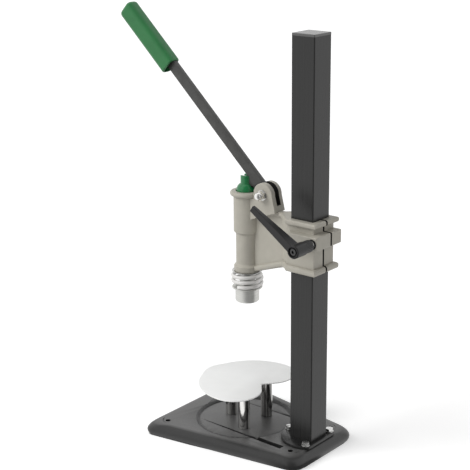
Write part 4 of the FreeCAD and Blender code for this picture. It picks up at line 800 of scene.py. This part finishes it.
def grip_rings(start, end, half, radius, start_round, end_round):
    """A bar of that section whose ends are rounded over."""
    stations = []
    for place, way, rounding in ((start, 1, start_round), (end, -1, end_round)):
        for step in range(GRIP_STEPS + 1 if rounding else 1):
            turn = math.pi / 2 * step / GRIP_STEPS
            inset = rounding * (1 - math.sin(turn))
            stations.append((place + way * rounding * (1 - math.cos(turn)), inset))
    return [grip_ring(along, (half[0] - inset, half[1] - inset),
                      max(radius - inset, LEAST_ROUND), GRIP_DROP)
            for along, inset in sorted(stations)]


grip = lift_rings(grip_rings(GRIP_FROM, GRIP_TO, GRIP_HALF, GRIP_ROUND, GRIP_LIP_ROUND,
                             GRIP_END_ROUND), "grip")
recess_half = (GRIP_HALF[0] - GRIP_WALL, GRIP_HALF[1] - GRIP_WALL)
recess = grip_rings(GRIP_FROM - OVER, GRIP_FROM + GRIP_RECESS, recess_half,
                    GRIP_ROUND - GRIP_WALL, 0, RECESS_END_ROUND)
combine(grip, lift_rings(recess, "recess"), "DIFFERENCE")
socket = [grip_ring(along, SOCKET_HALF, LEAST_ROUND) for along in (GRIP_FROM, SOCKET_TO)]
combine(grip, lift_rings(socket, "socket"), "DIFFERENCE")
even_shading(grip)
grip_plastic = Finish("green_grip_plastic", GRIP_GREEN, roughness=0.42)
grip_plastic.vary_colour(grip_plastic.noise(20.0), darker=0.93, lighter=1.07)
grip_plastic.bump(grip_plastic.noise(0.7), height=0.03)
stand_for(grip, "lever_grip", grip_plastic)

# Plunger. A ground steel rod with the buffer's disc at its foot, a return spring round it, and a
# glossy green moulded cap on top, slotted for the lever.
CAP_GREEN = (0.008, 0.17, 0.05)
GROUND_STEEL = (0.56, 0.56, 0.55)

cap_green = Finish("glossy_green_plastic", CAP_GREEN, roughness=0.14,
                   Coat_Weight=0.3, Coat_Roughness=0.05)
cap_green.vary_colour(cap_green.noise(16.0), darker=0.9, lighter=1.08)
cap_green.bump(cap_green.noise(5.0), height=0.02)
dress(cap_green, "plunger_cap")

ground_steel = Finish("ground_steel", GROUND_STEEL, roughness=0.25, Metallic=1.0)
ground_steel.vary_roughness(ground_steel.noise(0.6, stretch=(0.15, 0.15, 2.0)),
                            least=0.18, most=0.34)
dress(ground_steel, "plunger_rod", "cap_magnet", "crimping_ring", "clamp_stud")


def coil(name, node, finish):
    """A spring made from a CAD node's joined mesh, given its finish and body, on a mesh of its own.
    """
    spring = to_piece(joined_up(node), name)
    stand_for(spring, node, finish)
    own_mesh(spring)


coil("rod_spring", "return_spring", ground_steel)

# Bell. Turned from aluminium, with fine rings left by the lathe. It slides on the rod's foot
# against a buffer spring of thick bright wire.
ALUMINIUM = (0.74, 0.74, 0.71)
BRIGHT_WIRE = (0.8, 0.79, 0.77)

bell_metal = Finish("turned_aluminium", ALUMINIUM, roughness=0.42, Metallic=0.85)
lathe_rings = bell_metal.noise(0.7, detail=4.0, stretch=(0.02, 0.02, 1.0))
bell_metal.vary_colour(lathe_rings, darker=0.86, lighter=1.06)
bell_metal.vary_roughness(lathe_rings, least=0.36, most=0.5)
bell_metal.bump(lathe_rings, height=0.02)
dress(bell_metal, "capping_bell")

spring_wire = Finish("bright_spring_wire", BRIGHT_WIRE, roughness=0.38, Metallic=0.4)
spring_wire.vary_roughness(spring_wire.noise(2.0), least=0.32, most=0.44)
coil("bell_spring", "buffer_spring", spring_wire)
dress(zinc_plate, "bell_screw", "bell_washer")

# Clamp screw. A steel insert with an M10 stud goes through the lug into a nut that sits in a
# pocket. A washer lies under its collar. It is a real part, coloured black as painted shade where
# the hub meets the lug. A blackened screw holds the lever on it.
WASHER_SHADE_BLACK = (0.03, 0.03, 0.03)
SCREW_BLACK = (0.08, 0.08, 0.08)

washer_painted_shade = Finish("black_oxide_steel", WASHER_SHADE_BLACK, roughness=0.3, Metallic=0.6)
washer_painted_shade.vary_roughness(washer_painted_shade.noise(1.5), least=0.22, most=0.4)
# The washer is coloured black as painted shade at the foot of the hub.
dress(washer_painted_shade, "clamp_washer")
screw_steel = Finish("blackened_screw", SCREW_BLACK, roughness=0.14, Metallic=1.0)
screw_steel.vary_roughness(screw_steel.noise(1.5), least=0.1, most=0.2)
dress(screw_steel, "handle_screw")
dress(zinc_plate, "clamp_nut")

# Clamp lever. Moulded glass-filled plastic with a fluted neck, matt with a fine grain. A spring
# in its hub keeps it down on the insert's teeth, and lifting it frees it to turn.
LEVER_BLACK = (0.018, 0.0175, 0.018)

lever_plastic = Finish("grained_black_plastic", LEVER_BLACK, roughness=0.4,
                       Specular_IOR_Level=0.4)
lever_plastic.vary_roughness(lever_plastic.noise(3.0), least=0.34, most=0.46)
lever_plastic.bump(lever_plastic.noise(0.45), height=0.03)
dress(lever_plastic, "clamp_lever")
coil("lift_spring", "handle_spring", ground_steel)
